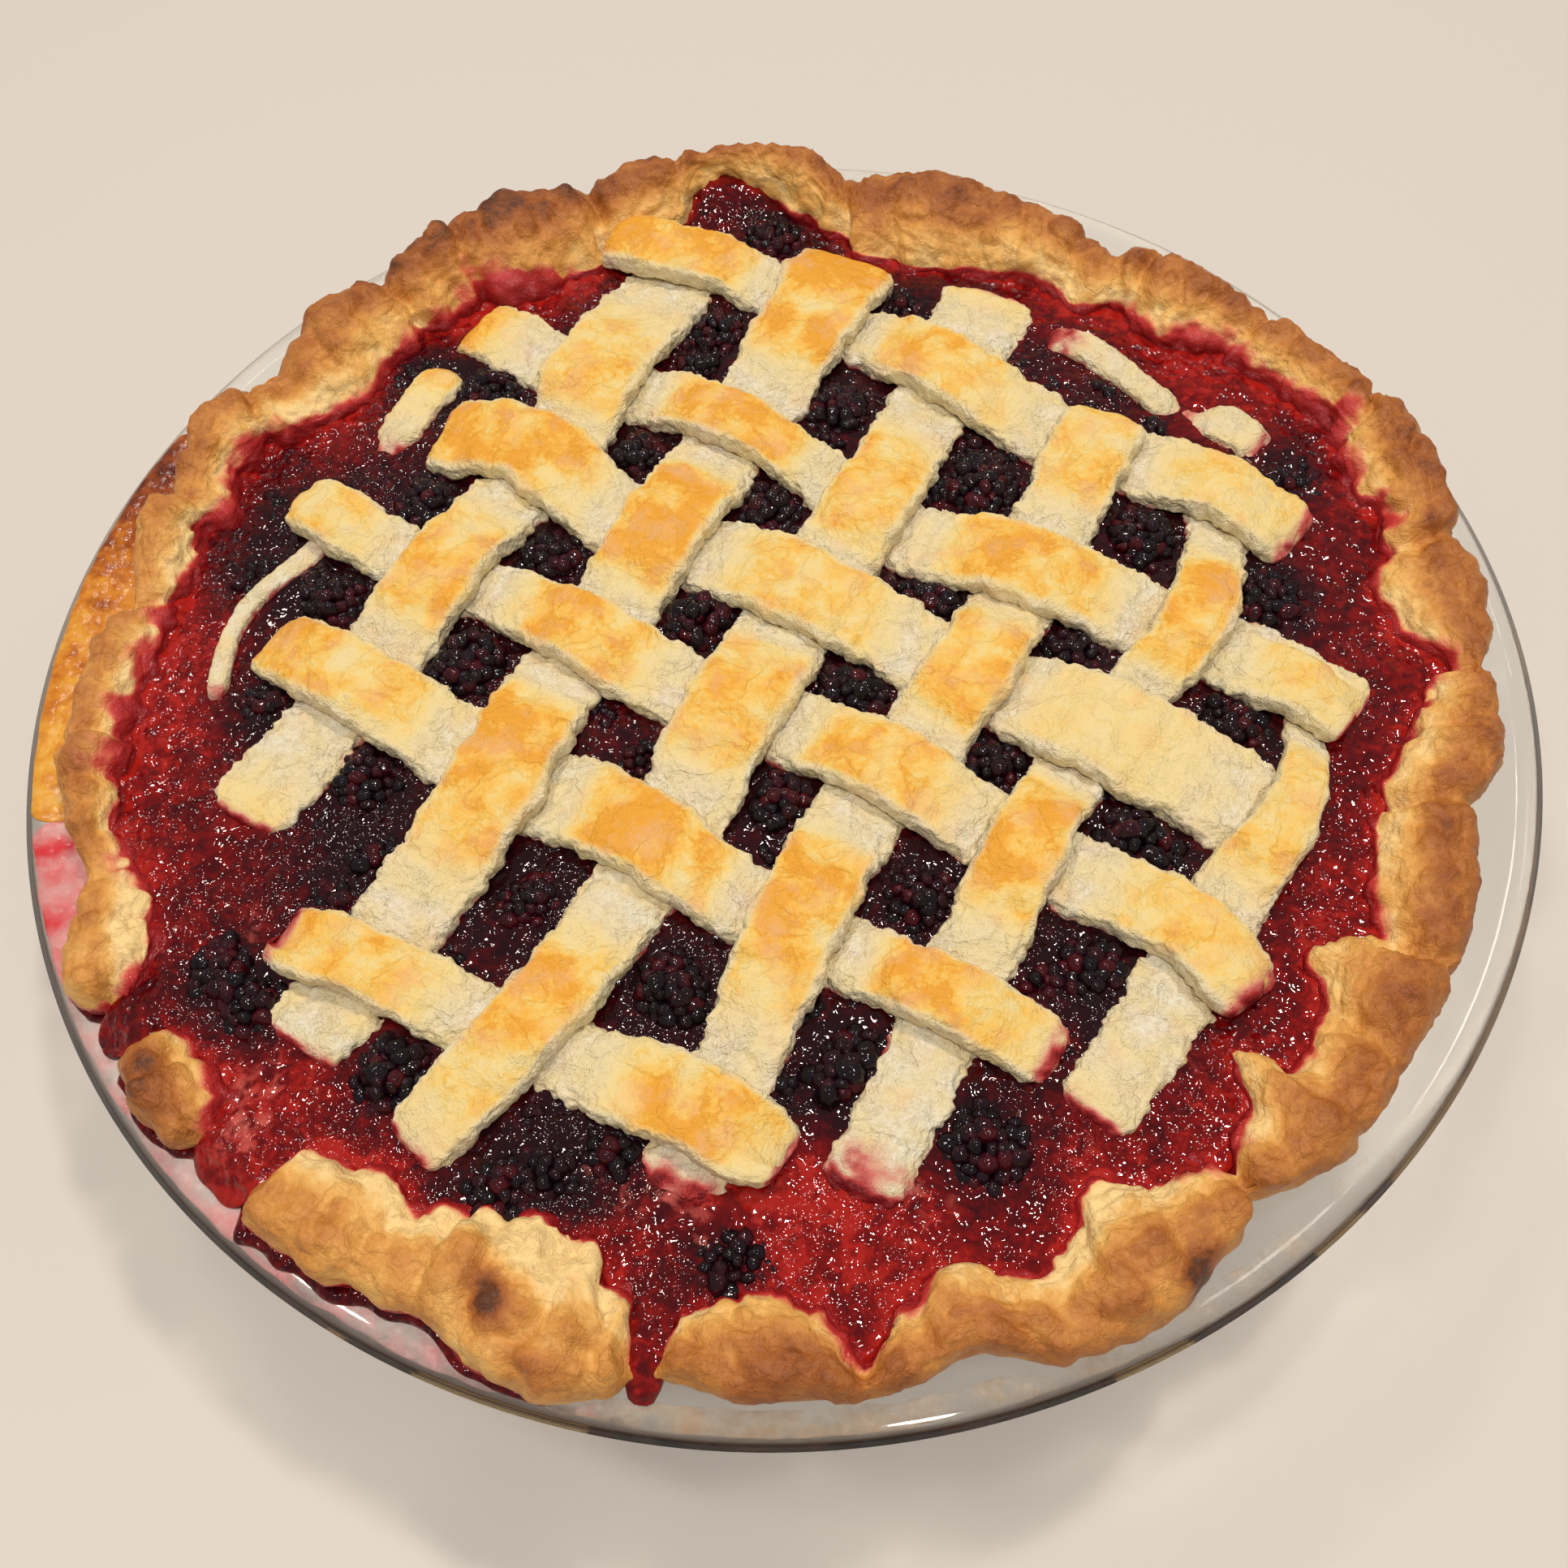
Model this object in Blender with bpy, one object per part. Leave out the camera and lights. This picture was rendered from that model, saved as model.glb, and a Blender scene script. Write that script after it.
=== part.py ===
"""Bramble pie in its own clear glass pie dish, in metres, +Z up.

The dish is a turned profile. The crust lines it and rolls over its flange in a hand-crimped rim.
The filling is one solid of juice with the berries that show fused on. Two families of dough
strips are woven over it: the falling strips run from the back left to the front right, the
rising ones from the front left to the back right.
"""
import math

import bmesh
import bpy
import numpy as np

MM = 0.001

# Dish, mm
RIM_R = 124.0          # outer radius of the flange
DISH_H = 38.0          # height of the flange above the table
FOOT_R = 84.5          # flat underside
GLASS_FLOOR = 4.6      # height of the dish's inside
SIDES = 72

# Fits, mm
CLEAR = 0.45           # crust to glass
SKIN = 0.5             # filling to crust
FIT = 0.4              # strip to strip, and strip to filling

# Crust, mm
CRUST_T = 4.3          # lining thickness
JUICE_Z = 41.0         # where the juice meets the crust
LEDGE_R = 103.0        # where the lining turns out over the flange

# Filling, mm
DOME = 0.9             # rise of the juice towards the middle
BERRY_R = 7.2
BERRY_REACH = 91.0     # furthest that a berry's middle lies out, clear of the lining

# Lattice, mm
STRIP_T = 3.9
WEAVE_Z = 42.6         # middle height between two crossing strips, at the centre
WEAVE_FALL = 0.8       # how much lower that is at the rim
END_Z = 40.7           # middle height of a strip's sunk end
BAND = 0.8             # how far a strip stays level beyond the one that it crosses
END_INSET = 5          # points of a strip's path that its tapered end takes up
END_NEAR = 14          # points from the end within which a crossing keeps the end level

# The crimped rim: angle in degrees, outer reach, inner lip, crest height
RIM = (
    (2, 118, 99, 47), (5, 116, 103, 45.5), (9, 118, 106, 47), (14, 120.5, 104, 48.5),
    (18.5, 120.5, 105, 48.5), (21.5, 118.5, 108, 47.5), (26, 117.5, 105, 48), (31, 117, 104, 47.5),
    (34.5, 114.5, 103, 46.5), (41, 114.5, 96, 49), (46, 113.5, 98, 48), (51, 109.5, 94, 46),
    (56, 111, 96, 49), (62, 112, 94, 49.5), (70, 113.5, 91, 50.5), (75, 112.5, 92, 49),
    (78, 109.5, 93, 47.5), (80.5, 111, 98, 48.5), (84, 115, 102, 51), (88, 116, 107, 51),
    (92, 116.5, 110.5, 50), (95, 116, 109, 50), (97, 115, 102, 50.5), (102, 116, 99, 51),
    (106, 114, 97, 48.5), (110, 115, 95, 50), (115, 117.5, 93, 52.5), (119, 116.5, 95, 50.5),
    (122, 116.5, 98.5, 51), (126, 115.5, 97, 50), (129.5, 112.5, 98, 47.5), (133, 115, 97.5, 49),
    (136.5, 116, 95, 50.5), (140.5, 113.5, 93, 48), (145, 110.5, 96, 45.5), (149, 115, 100, 48.5),
    (152.5, 116, 103, 49), (156, 113.5, 102, 47.5), (160, 112, 99, 46), (163.5, 114, 103, 48),
    (167.5, 112.5, 100, 47), (172, 109.5, 102, 44.5), (178, 114, 102, 46.5), (184, 115, 105, 46),
    (188.5, 117, 106, 46.5), (194, 115, 107, 45.5), (198.5, 113.5, 106, 43.5), (202, 116.5, 104.5, 45.5),
    (205, 120, 106, 46), (207.5, 121, 108.5, 45.5), (209.5, 119.5, 110, 44.5), (210.8, 118, 112.5, 42),
    (212, 117, 113, 41.3), (213.2, 118, 112, 42.5), (215, 119.5, 109, 45), (218.5, 120.5, 107.5, 46.5),
    (221.8, 119.5, 109, 45.5), (223.8, 117, 112, 42), (226.2, 115.5, 112.5, 41.3), (228.2, 116.5, 111, 42.5),
    (229.8, 119.5, 105, 45.5), (236, 119.5, 103, 46), (240, 118, 105, 45), (244, 117.5, 101, 46),
    (248, 121, 100, 46.5), (253, 122, 101, 46.5), (256.4, 120, 106, 45.5), (258.7, 117, 112, 42.5),
    (261, 117, 107, 44.5), (265.5, 118.5, 103.5, 46), (270, 118.5, 106, 46), (273, 119, 113, 44),
    (276, 118, 108, 45), (280, 116, 104, 46), (286, 120, 108, 45), (293, 120.5, 100, 47),
    (298, 117, 105, 46), (302, 114, 107, 44.5), (305.5, 116, 105, 46), (309, 117.5, 96, 46.5),
    (312, 117, 104, 46), (317, 116, 102, 45.5), (321, 116, 96, 46.5), (325, 116, 103, 45),
    (331, 115.5, 99, 47), (336, 114, 98, 46), (339.5, 112.5, 98, 45), (345, 116, 101, 47),
    (350, 115.5, 104, 46), (353.5, 114.5, 108, 44.5), (357, 117, 101, 46),
)

# Strips: number: (widths from end to end, points along the middle)
FALLING = {
    0: ((7, 6.5, 5.5, 8.5, 8), ((54.5, 66.5), (62.7, 60.2), (72, 48.2), (83, 41), (88.2, 35))),
    1: ((13.5, 13.2, 16, 14), ((-17, 92), (-5, 88), (9.8, 77.5), (26, 63.5), (51.5, 42.4), (66, 33.6), (77, 26), (90, 14.5))),
    2: ((15.5, 13.2, 10.8, 15.5, 15, 15.3), ((-53.4, 77.6), (-31.2, 62.4), (-14.5, 53), (6, 38), (25, 19.5), (40, 12), (71.8, -5.4), (91.3, -22))),
    3: ((17.5, 15.8, 16, 15, 18.3, 18.8), ((-58.6, 50), (-42.5, 44), (-27, 29), (-7, 16.5), (23, -3.5), (41.5, -15.7), (78, -41))),
    4: ((12, 12, 14, 13.8, 12.9, 11.8), ((-81.3, 34.6), (-65, 23.7), (-44, 11), (-17.7, -7.5), (3, -17.8), (28.7, -36), (55.7, -55.3), (65.8, -68.4))),
    5: ((12.8, 14, 16, 13.2, 11.5, 10.8), ((-84.3, 6.3), (-50, -18), (-26.5, -32.7), (-8.2, -47.3), (8.3, -57.5), (20.3, -64.6), (37, -75.2))),
    6: ((11.4, 11.2, 11.6, 13.8, 11.8), ((-76.3, -48.7), (-59.5, -56.8), (-41.3, -66.6), (-18, -78), (-2.7, -88))),
}
RISING = {
    1: ((3.4, 3.6, 4.2, 5, 8.4, 8.6), ((-92, -5), (-91.2, 7), (-87.6, 15.5), (-81.8, 22), (-77.3, 27.5), (-75.2, 34.5), (-70, 44.5), (-64.2, 55), (-57.6, 66.5))),
    2: ((14.5, 15.5, 14.7, 18.3, 17.5), ((-85, -28.4), (-64.5, 3), (-47.5, 30.5), (-34.5, 49.3), (-29.3, 62.7), (-12.5, 90.8))),
    3: ((15, 15.2, 15.4, 16, 17.4, 20.6), ((-72, -66.9), (-47.3, -30.5), (-37, -9), (-27.3, 7), (-10, 37), (8.7, 69.2), (19.8, 88.8))),
    4: ((11.4, 13, 16.6, 15.8, 15, 18.8), ((-55.2, -82.7), (-39.5, -67.4), (-23, -43.4), (-8.3, -16.8), (6, 9), (20.7, 31), (45, 78))),
    5: ((13, 13.4, 14.7, 14, 14.5, 15), ((-18, -91.2), (1.4, -51.7), (11, -34.4), (31.8, -9), (56, 33), (61, 43))),
    6: ((11.6, 12.4, 12.9, 10, 11.6, 10), ((6.8, -93), (26, -59.5), (41.4, -33.6), (56.8, -15.1), (67.4, -4.8), (75.3, 12.5), (78, 27))),
    7: ((11, 12.9, 12, 8, 5), ((39.6, -84), (54.3, -66.5), (65.4, -51.5), (76, -40), (81.7, -28.2), (84.2, -13.5))),
}

# Berries that show between the strips and by the crust
BERRIES = (
    (-60, 34), (-50, 61), (-8, 73), (5, 98), (28, 76), (13, 51), (-22, 43), (-37, 21), (0, 29),
    (38, 31), (64, 18), (83, 3), (-75, 15), (-83, -6), (-52, 0), (-12, 6), (28, 9), (50, -4),
    (12, -9), (33, -25), (0, -30), (72, -21), (54, -41), (-65, -21), (-64, -36), (-40, -45),
    (20, -48), (44, -61), (-18, -60), (7, -74), (25, -87), (-10, -101), (-34, -86), (-78, -60),
    (50, -72), (92, 30),
)


def clear_scene():
    for obj in list(bpy.data.objects):
        bpy.data.objects.remove(obj, do_unlink=True)


def make_material(name, color, roughness, metallic=0.0, transmission=0.0):
    material = bpy.data.materials.new(name)
    material.use_nodes = True
    shader = material.node_tree.nodes["Principled BSDF"]
    shader.inputs["Base Color"].default_value = (*color, 1.0)
    shader.inputs["Roughness"].default_value = roughness
    shader.inputs["Metallic"].default_value = metallic
    shader.inputs["Transmission Weight"].default_value = transmission
    return material


def make_object(name, verts_mm, faces, material, smooth=True):
    """A mesh object from points in millimetres."""
    mesh = bpy.data.meshes.new(name)
    verts = [(x * MM, y * MM, z * MM) for x, y, z in verts_mm]
    mesh.from_pydata(verts, [], [tuple(face) for face in faces])
    mesh.materials.append(material)
    mesh.validate()
    if smooth:
        mesh.shade_smooth()
        mesh.set_sharp_from_angle(angle=math.radians(40))
    obj = bpy.data.objects.new(name, mesh)
    bpy.context.scene.collection.objects.link(obj)
    return obj


def polar_shell(profiles, angles):
    """Points and triangles of a turned shell: one profile of (r, z) for each angle.

    A profile runs from the underside's middle, outwards and over the top, back to the middle.
    Both ends are closed by one flat face.
    """
    stations, rings = len(profiles), len(profiles[0])
    verts = []
    for profile, angle in zip(profiles, angles):
        verts += [(r * math.cos(angle), r * math.sin(angle), z) for r, z in profile]
    faces = []
    for i in range(stations):
        j = (i + 1) % stations
        for k in range(rings - 1):
            a, b = i * rings + k, j * rings + k
            faces += [(a, b, b + 1), (a, b + 1, a + 1)]
    faces.append([i * rings for i in reversed(range(stations))])
    faces.append([i * rings + rings - 1 for i in range(stations)])
    return verts, faces


# ---------------------------------------------------------------- dish

INNER_GLASS = (
    (80.0, GLASS_FLOOR), (FOOT_R, 6.6), (87.0, 10.0), (105.2, 35.0), (107.5, 37.1),
    (121.5, DISH_H),
)


def glass_top(radius):
    """Height of the glass under the crust at a radius."""
    return np.interp(radius, [r for r, _ in INNER_GLASS], [z for _, z in INNER_GLASS])


def build_dish(material):
    outer = [
        (FOOT_R, 0.0), (88.0, 1.6), (90.3, 6.0), (108.9, 32.4), (111.5, 34.3),
        (120.5, 34.6), (123.2, 35.2), (RIM_R, 36.4), (123.3, 37.7),
    ]
    profile = outer + list(reversed(INNER_GLASS))
    angles = [math.tau * i / SIDES for i in range(SIDES)]
    verts, faces = polar_shell([profile] * SIDES, angles)
    return make_object("glass_dish", verts, faces, material)


# ---------------------------------------------------------------- crust

def rim_stations():
    """Rows of (angle, outer, lip, top): the rim's own rows, and halfway rows in wide steps."""
    rows = []
    for i, row in enumerate(RIM):
        following = RIM[(i + 1) % len(RIM)]
        span = (following[0] - row[0]) % 360
        rows.append(row)
        if span > 4.5:
            middle = [(a + b) / 2 for a, b in zip(row[1:], following[1:])]
            rows.append((row[0] + span / 2, *middle))
    return rows


def crust_profile(outer, lip, top):
    """(r, z) of the crust at one angle, from under its base to the inside of its base."""
    inset = CLEAR * 0.9
    underside = [
        (79.6, GLASS_FLOOR + CLEAR), (FOOT_R - inset, 6.6 + 0.3), (87.0 - inset, 10.0 + 0.2),
        (105.2 - inset, 35.0 + 0.3),
    ]
    for r in (min(107.3, outer - 2.6), outer - 1.3):
        underside.append((r, glass_top(r + 0.3) + CLEAR))
    reach = outer - lip
    edge_z = min(glass_top(outer) + 2.4, top - 1.2)
    roll = [
        (outer, edge_z),
        (outer - 0.06 * reach, top - 0.3 * (top - edge_z)),
        (outer - 0.24 * reach, top),
        (outer - 0.55 * reach, top - 0.4),
        (lip + 0.18 * reach, JUICE_Z + 0.55 * (top - JUICE_Z)),
        (lip, JUICE_Z),
    ]
    ledge = min(lip, LEDGE_R)
    ledge_z = 39.0 if lip > LEDGE_R else 37.6
    lining = [
        (ledge + 0.3, ledge_z), (105.2 - CRUST_T - 1.6, 32.0),
        (87.0 - CRUST_T - 0.6, 12.2), (79.0, GLASS_FLOOR + CLEAR + CRUST_T),
    ]
    return underside + roll + lining


def build_crust(material):
    rows = rim_stations()
    angles = [math.radians(row[0]) for row in rows]
    profiles = [crust_profile(*row[1:]) for row in rows]
    verts, faces = polar_shell(profiles, angles)
    return make_object("pie_crust", verts, faces, material)


# ---------------------------------------------------------------- lattice

def smooth_path(points, step=0.5):
    """Evenly spaced points on a Catmull-Rom curve through the given points."""
    p = np.array(points, float)
    p = np.vstack([2 * p[0] - p[1], p, 2 * p[-1] - p[-2]])
    dense = []
    for i in range(1, len(p) - 2):
        t = np.linspace(0, 1, 40, endpoint=False)[:, None]
        a, b, c, d = p[i - 1:i + 3]
        dense.append(0.5 * (2 * b + (c - a) * t + (2 * a - 5 * b + 4 * c - d) * t**2
                            + (3 * b - a - 3 * c + d) * t**3))
    dense = np.vstack(dense + [p[-2:-1]])
    length = np.concatenate([[0], np.cumsum(np.linalg.norm(np.diff(dense, axis=0), axis=1))])
    even = np.linspace(0, length[-1], max(8, int(length[-1] / step)))
    return np.stack([np.interp(even, length, dense[:, k]) for k in (0, 1)], axis=1)


class Strip:
    """One dough strip: its middle line and its two long edges, seen from above."""

    def __init__(self, name, spec):
        self.name = name
        widths, points = spec
        self.middle = smooth_path(points)
        along = np.gradient(self.middle, axis=0)
        along /= np.linalg.norm(along, axis=1)[:, None]
        self.side = np.stack([-along[:, 1], along[:, 0]], axis=1)
        share = np.linspace(0, len(widths) - 1, len(self.middle))
        self.width = np.interp(share, range(len(widths)), widths)
        self.crossings = []

    def edge(self, sign, grow=0.0):
        return self.middle + self.side * (sign * (self.width / 2 + grow))[:, None]


def nearest(points, line):
    """For each point, the distance to a line of points and the index of the closest."""
    gaps = np.linalg.norm(points[:, None, :] - line[None, :, :], axis=2)
    return gaps.min(axis=1), gaps.argmin(axis=1)


def weave_height(x, y):
    return WEAVE_Z - WEAVE_FALL * (x * x + y * y) / 95.0**2


def find_crossings(falling, rising):
    """A rising strip lies over a falling one where their numbers add up to an even number."""
    for i, fall in falling.items():
        for j, rise in rising.items():
            gap, index = nearest(rise.middle, fall.middle)
            at = int(gap.argmin())
            if gap[at] > 0.6:
                continue
            height = weave_height(*rise.middle[at])
            lift = (STRIP_T + FIT) / 2
            rise_sign = 1 if (i + j) % 2 == 0 else -1
            rise.crossings.append((at, fall, height + rise_sign * lift))
            fall.crossings.append((int(index[at]), rise, height - rise_sign * lift))
    for strip in list(falling.values()) + list(rising.values()):
        strip.crossings.sort(key=lambda crossing: crossing[0])


def level_stretch(edge, other):
    """First and last index where an edge runs over or under another strip's band."""
    gap, index = nearest(edge, other.middle)
    reach = other.width[index] / 2 + BAND
    at = int(gap.argmin())
    first = last = at
    while first > 0 and gap[first] < reach[first]:
        first -= 1
    while last < len(edge) - 1 and gap[last] < reach[last]:
        last += 1
    return first, last


def edge_stations(strip, sign):
    """(index, height) along one edge: two ends, and both sides of each crossing."""
    edge = strip.edge(sign)
    last_index = len(edge) - 1
    stations = []
    if not strip.crossings:
        return [(0, END_Z), (END_INSET, END_Z), (last_index - END_INSET, END_Z), (last_index, END_Z)]
    for _, other, height in strip.crossings:
        first, last = level_stretch(edge, other)
        if stations and first <= stations[-1][0]:
            meet = (first + stations[-1][0]) // 2
            stations[-1] = (meet - 1, stations[-1][1])
            first = meet + 1
        stations += [(first, height), (last, height)]
    start_z = END_Z if stations[0][0] > END_NEAR else stations[0][1]
    end_z = END_Z if stations[-1][0] < last_index - END_NEAR else stations[-1][1]
    stations = [(min(max(index, END_INSET), last_index - END_INSET), z) for index, z in stations]
    start = [(0, start_z), (END_INSET - 1, start_z)]
    end = [(last_index - END_INSET + 1, end_z), (last_index, end_z)]
    return start + stations + end


# Cross-section of a strip: share of the width from one edge, share of the thickness from the middle
DOUGH_SECTION = ((0.08, -0.5), (0.92, -0.5), (1.0, -0.05), (0.84, 0.5), (0.16, 0.5), (0.0, -0.05))
BED_SECTION = ((0.0, -0.5), (1.0, -0.5), (1.0, 0.5), (0.0, 0.5))


def strip_mesh(strip, section=DOUGH_SECTION, grow=0.0):
    """Points and faces of a strip, or of a cutter a little larger than it."""
    left, right = edge_stations(strip, 1), edge_stations(strip, -1)
    left_edge, right_edge = strip.edge(1, grow), strip.edge(-1, grow)
    count, sides = len(left), len(section)
    verts = []
    for k in range(count):
        at_end = k in (0, count - 1)
        a, b = left_edge[left[k][0]], right_edge[right[k][0]]
        za, zb = left[k][1], right[k][1]
        if at_end:
            outward = strip.middle[0] - strip.middle[4] if k == 0 else strip.middle[-1] - strip.middle[-5]
            push = outward / np.linalg.norm(outward) * grow
            a, b = a + (b - a) * 0.12 + push, b + (a - b) * 0.12 + push
        thickness = STRIP_T * (0.62 if at_end else 1.0) + 2 * grow
        for across, up in section:
            x, y = a + (b - a) * across
            verts.append((x, y, za + (zb - za) * across + up * thickness))
    faces = [list(range(sides))]
    for k in range(count - 1):
        for m in range(sides):
            n = (m + 1) % sides
            p, q = k * sides, (k + 1) * sides
            faces += [(p + m, q + n, p + n), (p + m, q + m, q + n)]
    faces.append([(count - 1) * sides + m for m in reversed(range(sides))])
    return verts, faces


def build_strips(material):
    falling = {i: Strip(f"falling_strip_{i}", spec) for i, spec in FALLING.items()}
    rising = {j: Strip(f"rising_strip_{j}", spec) for j, spec in RISING.items()}
    find_crossings(falling, rising)
    strips = list(falling.values()) + list(rising.values())
    for strip in strips:
        make_object(strip.name, *strip_mesh(strip), material)
    return strips


# ---------------------------------------------------------------- filling

def juice_height(radius):
    return JUICE_Z + 0.15 + DOME * (1 - min(radius / 98.0, 1.0) ** 2)


def build_core(material):
    """The juice: it fills the crust, and its top is a low dome of rings with fewer and fewer sides."""
    rows = rim_stations()
    count = len(rows)
    verts, rings = [], []
    for angle, _, lip, _ in rows:
        a = math.radians(angle)
        ledge = min(lip, LEDGE_R)
        ledge_z = 39.35 if lip > LEDGE_R else 37.6
        profile = [
            (78.4, GLASS_FLOOR + CLEAR + CRUST_T + SKIN), (87.0 - CRUST_T - 0.6 - SKIN, 12.2 + 0.2),
            (105.2 - CRUST_T - 1.6 - SKIN, 32.0), (ledge + 0.3 - SKIN, ledge_z), (lip - SKIN, JUICE_Z + 0.15),
        ]
        verts += [(r * math.cos(a), r * math.sin(a), z) for r, z in profile]
    levels = 5
    faces = [[i * levels for i in reversed(range(count))]]
    for i in range(count):
        j = (i + 1) % count
        for k in range(levels - 1):
            a, b = i * levels + k, j * levels + k
            faces += [(a, b, a + 1), (b, b + 1, a + 1)]
    rim_ring = [i * levels + levels - 1 for i in range(count)]
    rings.append((rim_ring, [math.radians(row[0]) for row in rows]))
    for radius, sides in ((84.0, 40), (58.0, 24), (30.0, 12)):
        angles = [math.tau * (i + 0.5) / sides for i in range(sides)]
        first = len(verts)
        verts += [(radius * math.cos(a), radius * math.sin(a), juice_height(radius)) for a in angles]
        rings.append((list(range(first, first + sides)), angles))
    for (outer_ring, outer_angles), (inner_ring, inner_angles) in zip(rings, rings[1:]):
        faces += stitch(outer_ring, outer_angles, inner_ring, inner_angles)
    faces.append(rings[-1][0])
    return make_object("berry_filling", verts, faces, material)


def stitch(outer_ring, outer_angles, inner_ring, inner_angles):
    """Triangles between two rings with different numbers of sides, walked by angle."""
    faces, i, j = [], 0, 0
    outer_count, inner_count = len(outer_ring), len(inner_ring)
    while i < outer_count or j < inner_count:
        next_outer = outer_angles[(i + 1) % outer_count] + math.tau * ((i + 1) // outer_count)
        next_inner = inner_angles[(j + 1) % inner_count] + math.tau * ((j + 1) // inner_count)
        a, b = outer_ring[i % outer_count], inner_ring[j % inner_count]
        if j >= inner_count or (i < outer_count and next_outer <= next_inner):
            faces.append((a, outer_ring[(i + 1) % outer_count], b))
            i += 1
        else:
            faces.append((a, inner_ring[(j + 1) % inner_count], b))
            j += 1
    return faces


def apply_modifier(obj, modifier):
    bpy.context.view_layer.update()
    graph = bpy.context.evaluated_depsgraph_get()
    mesh = bpy.data.meshes.new_from_object(obj.evaluated_get(graph))
    obj.modifiers.remove(modifier)
    obj.data = mesh


def fuse_berries(core, material):
    """One union of the berries that show with the core, applied."""
    cluster = bpy.data.collections.new("berries")
    bpy.context.scene.collection.children.link(cluster)
    for number, (x, y) in enumerate(BERRIES):
        inward = min(1.0, BERRY_REACH / math.hypot(x, y, 1.0))
        x, y = x * inward, y * inward
        bm = bmesh.new()
        bmesh.ops.create_icosphere(bm, subdivisions=2, radius=BERRY_R * MM)
        mesh = bpy.data.meshes.new(f"berry_{number}")
        bm.to_mesh(mesh)
        bm.free()
        mesh.materials.append(material)
        berry = bpy.data.objects.new(mesh.name, mesh)
        sink = 5.4 + 0.5 * math.sin(number * 2.4)
        berry.location = (x * MM, y * MM, (juice_height(math.hypot(x, y)) - sink) * MM)
        berry.rotation_euler = (number * 0.7, number * 1.3, number * 0.4)
        cluster.objects.link(berry)
    union = core.modifiers.new("berries", "BOOLEAN")
    union.operation = "UNION"
    union.operand_type = "COLLECTION"
    union.collection = cluster
    apply_modifier(core, union)
    for berry in list(cluster.objects):
        bpy.data.objects.remove(berry, do_unlink=True)
    bpy.data.collections.remove(cluster)


def cut_strip_beds(core, strips, material):
    """Each strip lies in a bed a little larger than itself."""
    for strip in strips:
        cutter = make_object(f"bed_{strip.name}", *strip_mesh(strip, BED_SECTION, FIT), material)
        cutter.hide_render = True
        cutter.display_type = "WIRE"
        cut = core.modifiers.new("bed", "BOOLEAN")
        cut.operation = "DIFFERENCE"
        cut.object = cutter
        apply_modifier(core, cut)
        bpy.data.objects.remove(cutter, do_unlink=True)


def keep_largest_body(obj):
    """Drop the loose scraps that the cuts leave."""
    bm = bmesh.new()
    bm.from_mesh(obj.data)
    seen, bodies = set(), []
    for start in bm.verts:
        if start in seen:
            continue
        body, front = [], [start]
        seen.add(start)
        while front:
            vert = front.pop()
            body.append(vert)
            for edge in vert.link_edges:
                other = edge.other_vert(vert)
                if other not in seen:
                    seen.add(other)
                    front.append(other)
        bodies.append(body)
    bodies.sort(key=len)
    scraps = [vert for body in bodies[:-1] for vert in body]
    bmesh.ops.delete(bm, geom=scraps, context="VERTS")
    bmesh.ops.dissolve_degenerate(bm, dist=0.01 * MM, edges=bm.edges)
    bm.to_mesh(obj.data)
    bm.free()
    obj.data.shade_smooth()
    obj.data.set_sharp_from_angle(angle=math.radians(40))


def build_filling(strips, material):
    core = build_core(material)
    fuse_berries(core, material)
    cut_strip_beds(core, strips, material)
    keep_largest_body(core)
    return core


clear_scene()
glass = make_material("clear_glass", (0.93, 0.95, 0.94), 0.03, transmission=1.0)
crust_dough = make_material("browned_crust", (0.62, 0.36, 0.14), 0.6)
strip_dough = make_material("lattice_dough", (0.86, 0.66, 0.36), 0.55)
berry_juice = make_material("berry_juice", (0.16, 0.01, 0.02), 0.12)
build_dish(glass)
build_crust(crust_dough)
woven = build_strips(strip_dough)
build_filling(woven, berry_juice)
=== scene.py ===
"""Looks of a bramble pie in a clear glass pie dish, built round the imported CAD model.

Sizes in the sections below are in millimetres, in the CAD model's frame; meshes are in metres.
"""
import math

import bpy
import numpy as np
from mathutils import Matrix, Vector


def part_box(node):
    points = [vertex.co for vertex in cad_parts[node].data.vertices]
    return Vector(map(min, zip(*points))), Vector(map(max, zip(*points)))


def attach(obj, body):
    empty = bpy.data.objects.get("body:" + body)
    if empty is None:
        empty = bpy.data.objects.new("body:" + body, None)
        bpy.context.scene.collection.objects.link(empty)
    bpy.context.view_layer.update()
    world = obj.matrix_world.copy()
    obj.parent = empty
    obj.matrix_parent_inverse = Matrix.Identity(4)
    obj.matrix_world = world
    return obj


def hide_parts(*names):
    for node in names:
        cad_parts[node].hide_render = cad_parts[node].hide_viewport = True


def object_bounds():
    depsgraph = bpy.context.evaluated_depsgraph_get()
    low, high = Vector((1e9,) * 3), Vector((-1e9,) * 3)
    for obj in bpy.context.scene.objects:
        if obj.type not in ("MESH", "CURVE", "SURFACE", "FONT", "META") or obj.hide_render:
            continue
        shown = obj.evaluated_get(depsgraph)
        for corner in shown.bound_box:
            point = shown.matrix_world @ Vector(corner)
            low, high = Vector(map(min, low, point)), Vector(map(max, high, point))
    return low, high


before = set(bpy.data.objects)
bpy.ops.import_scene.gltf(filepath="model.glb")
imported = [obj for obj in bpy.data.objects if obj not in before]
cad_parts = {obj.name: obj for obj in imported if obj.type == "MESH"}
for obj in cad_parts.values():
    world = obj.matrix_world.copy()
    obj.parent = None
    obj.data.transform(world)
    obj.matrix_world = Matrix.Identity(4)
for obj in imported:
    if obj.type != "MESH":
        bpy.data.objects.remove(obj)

cad_low, cad_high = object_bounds()

# ---------------------------------------------------------------- studio
# A pale floor, a camera held close above the pie and tilted a little, and soft warm-white lamps
# high up, as in a kitchen lit from its ceiling.

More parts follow.
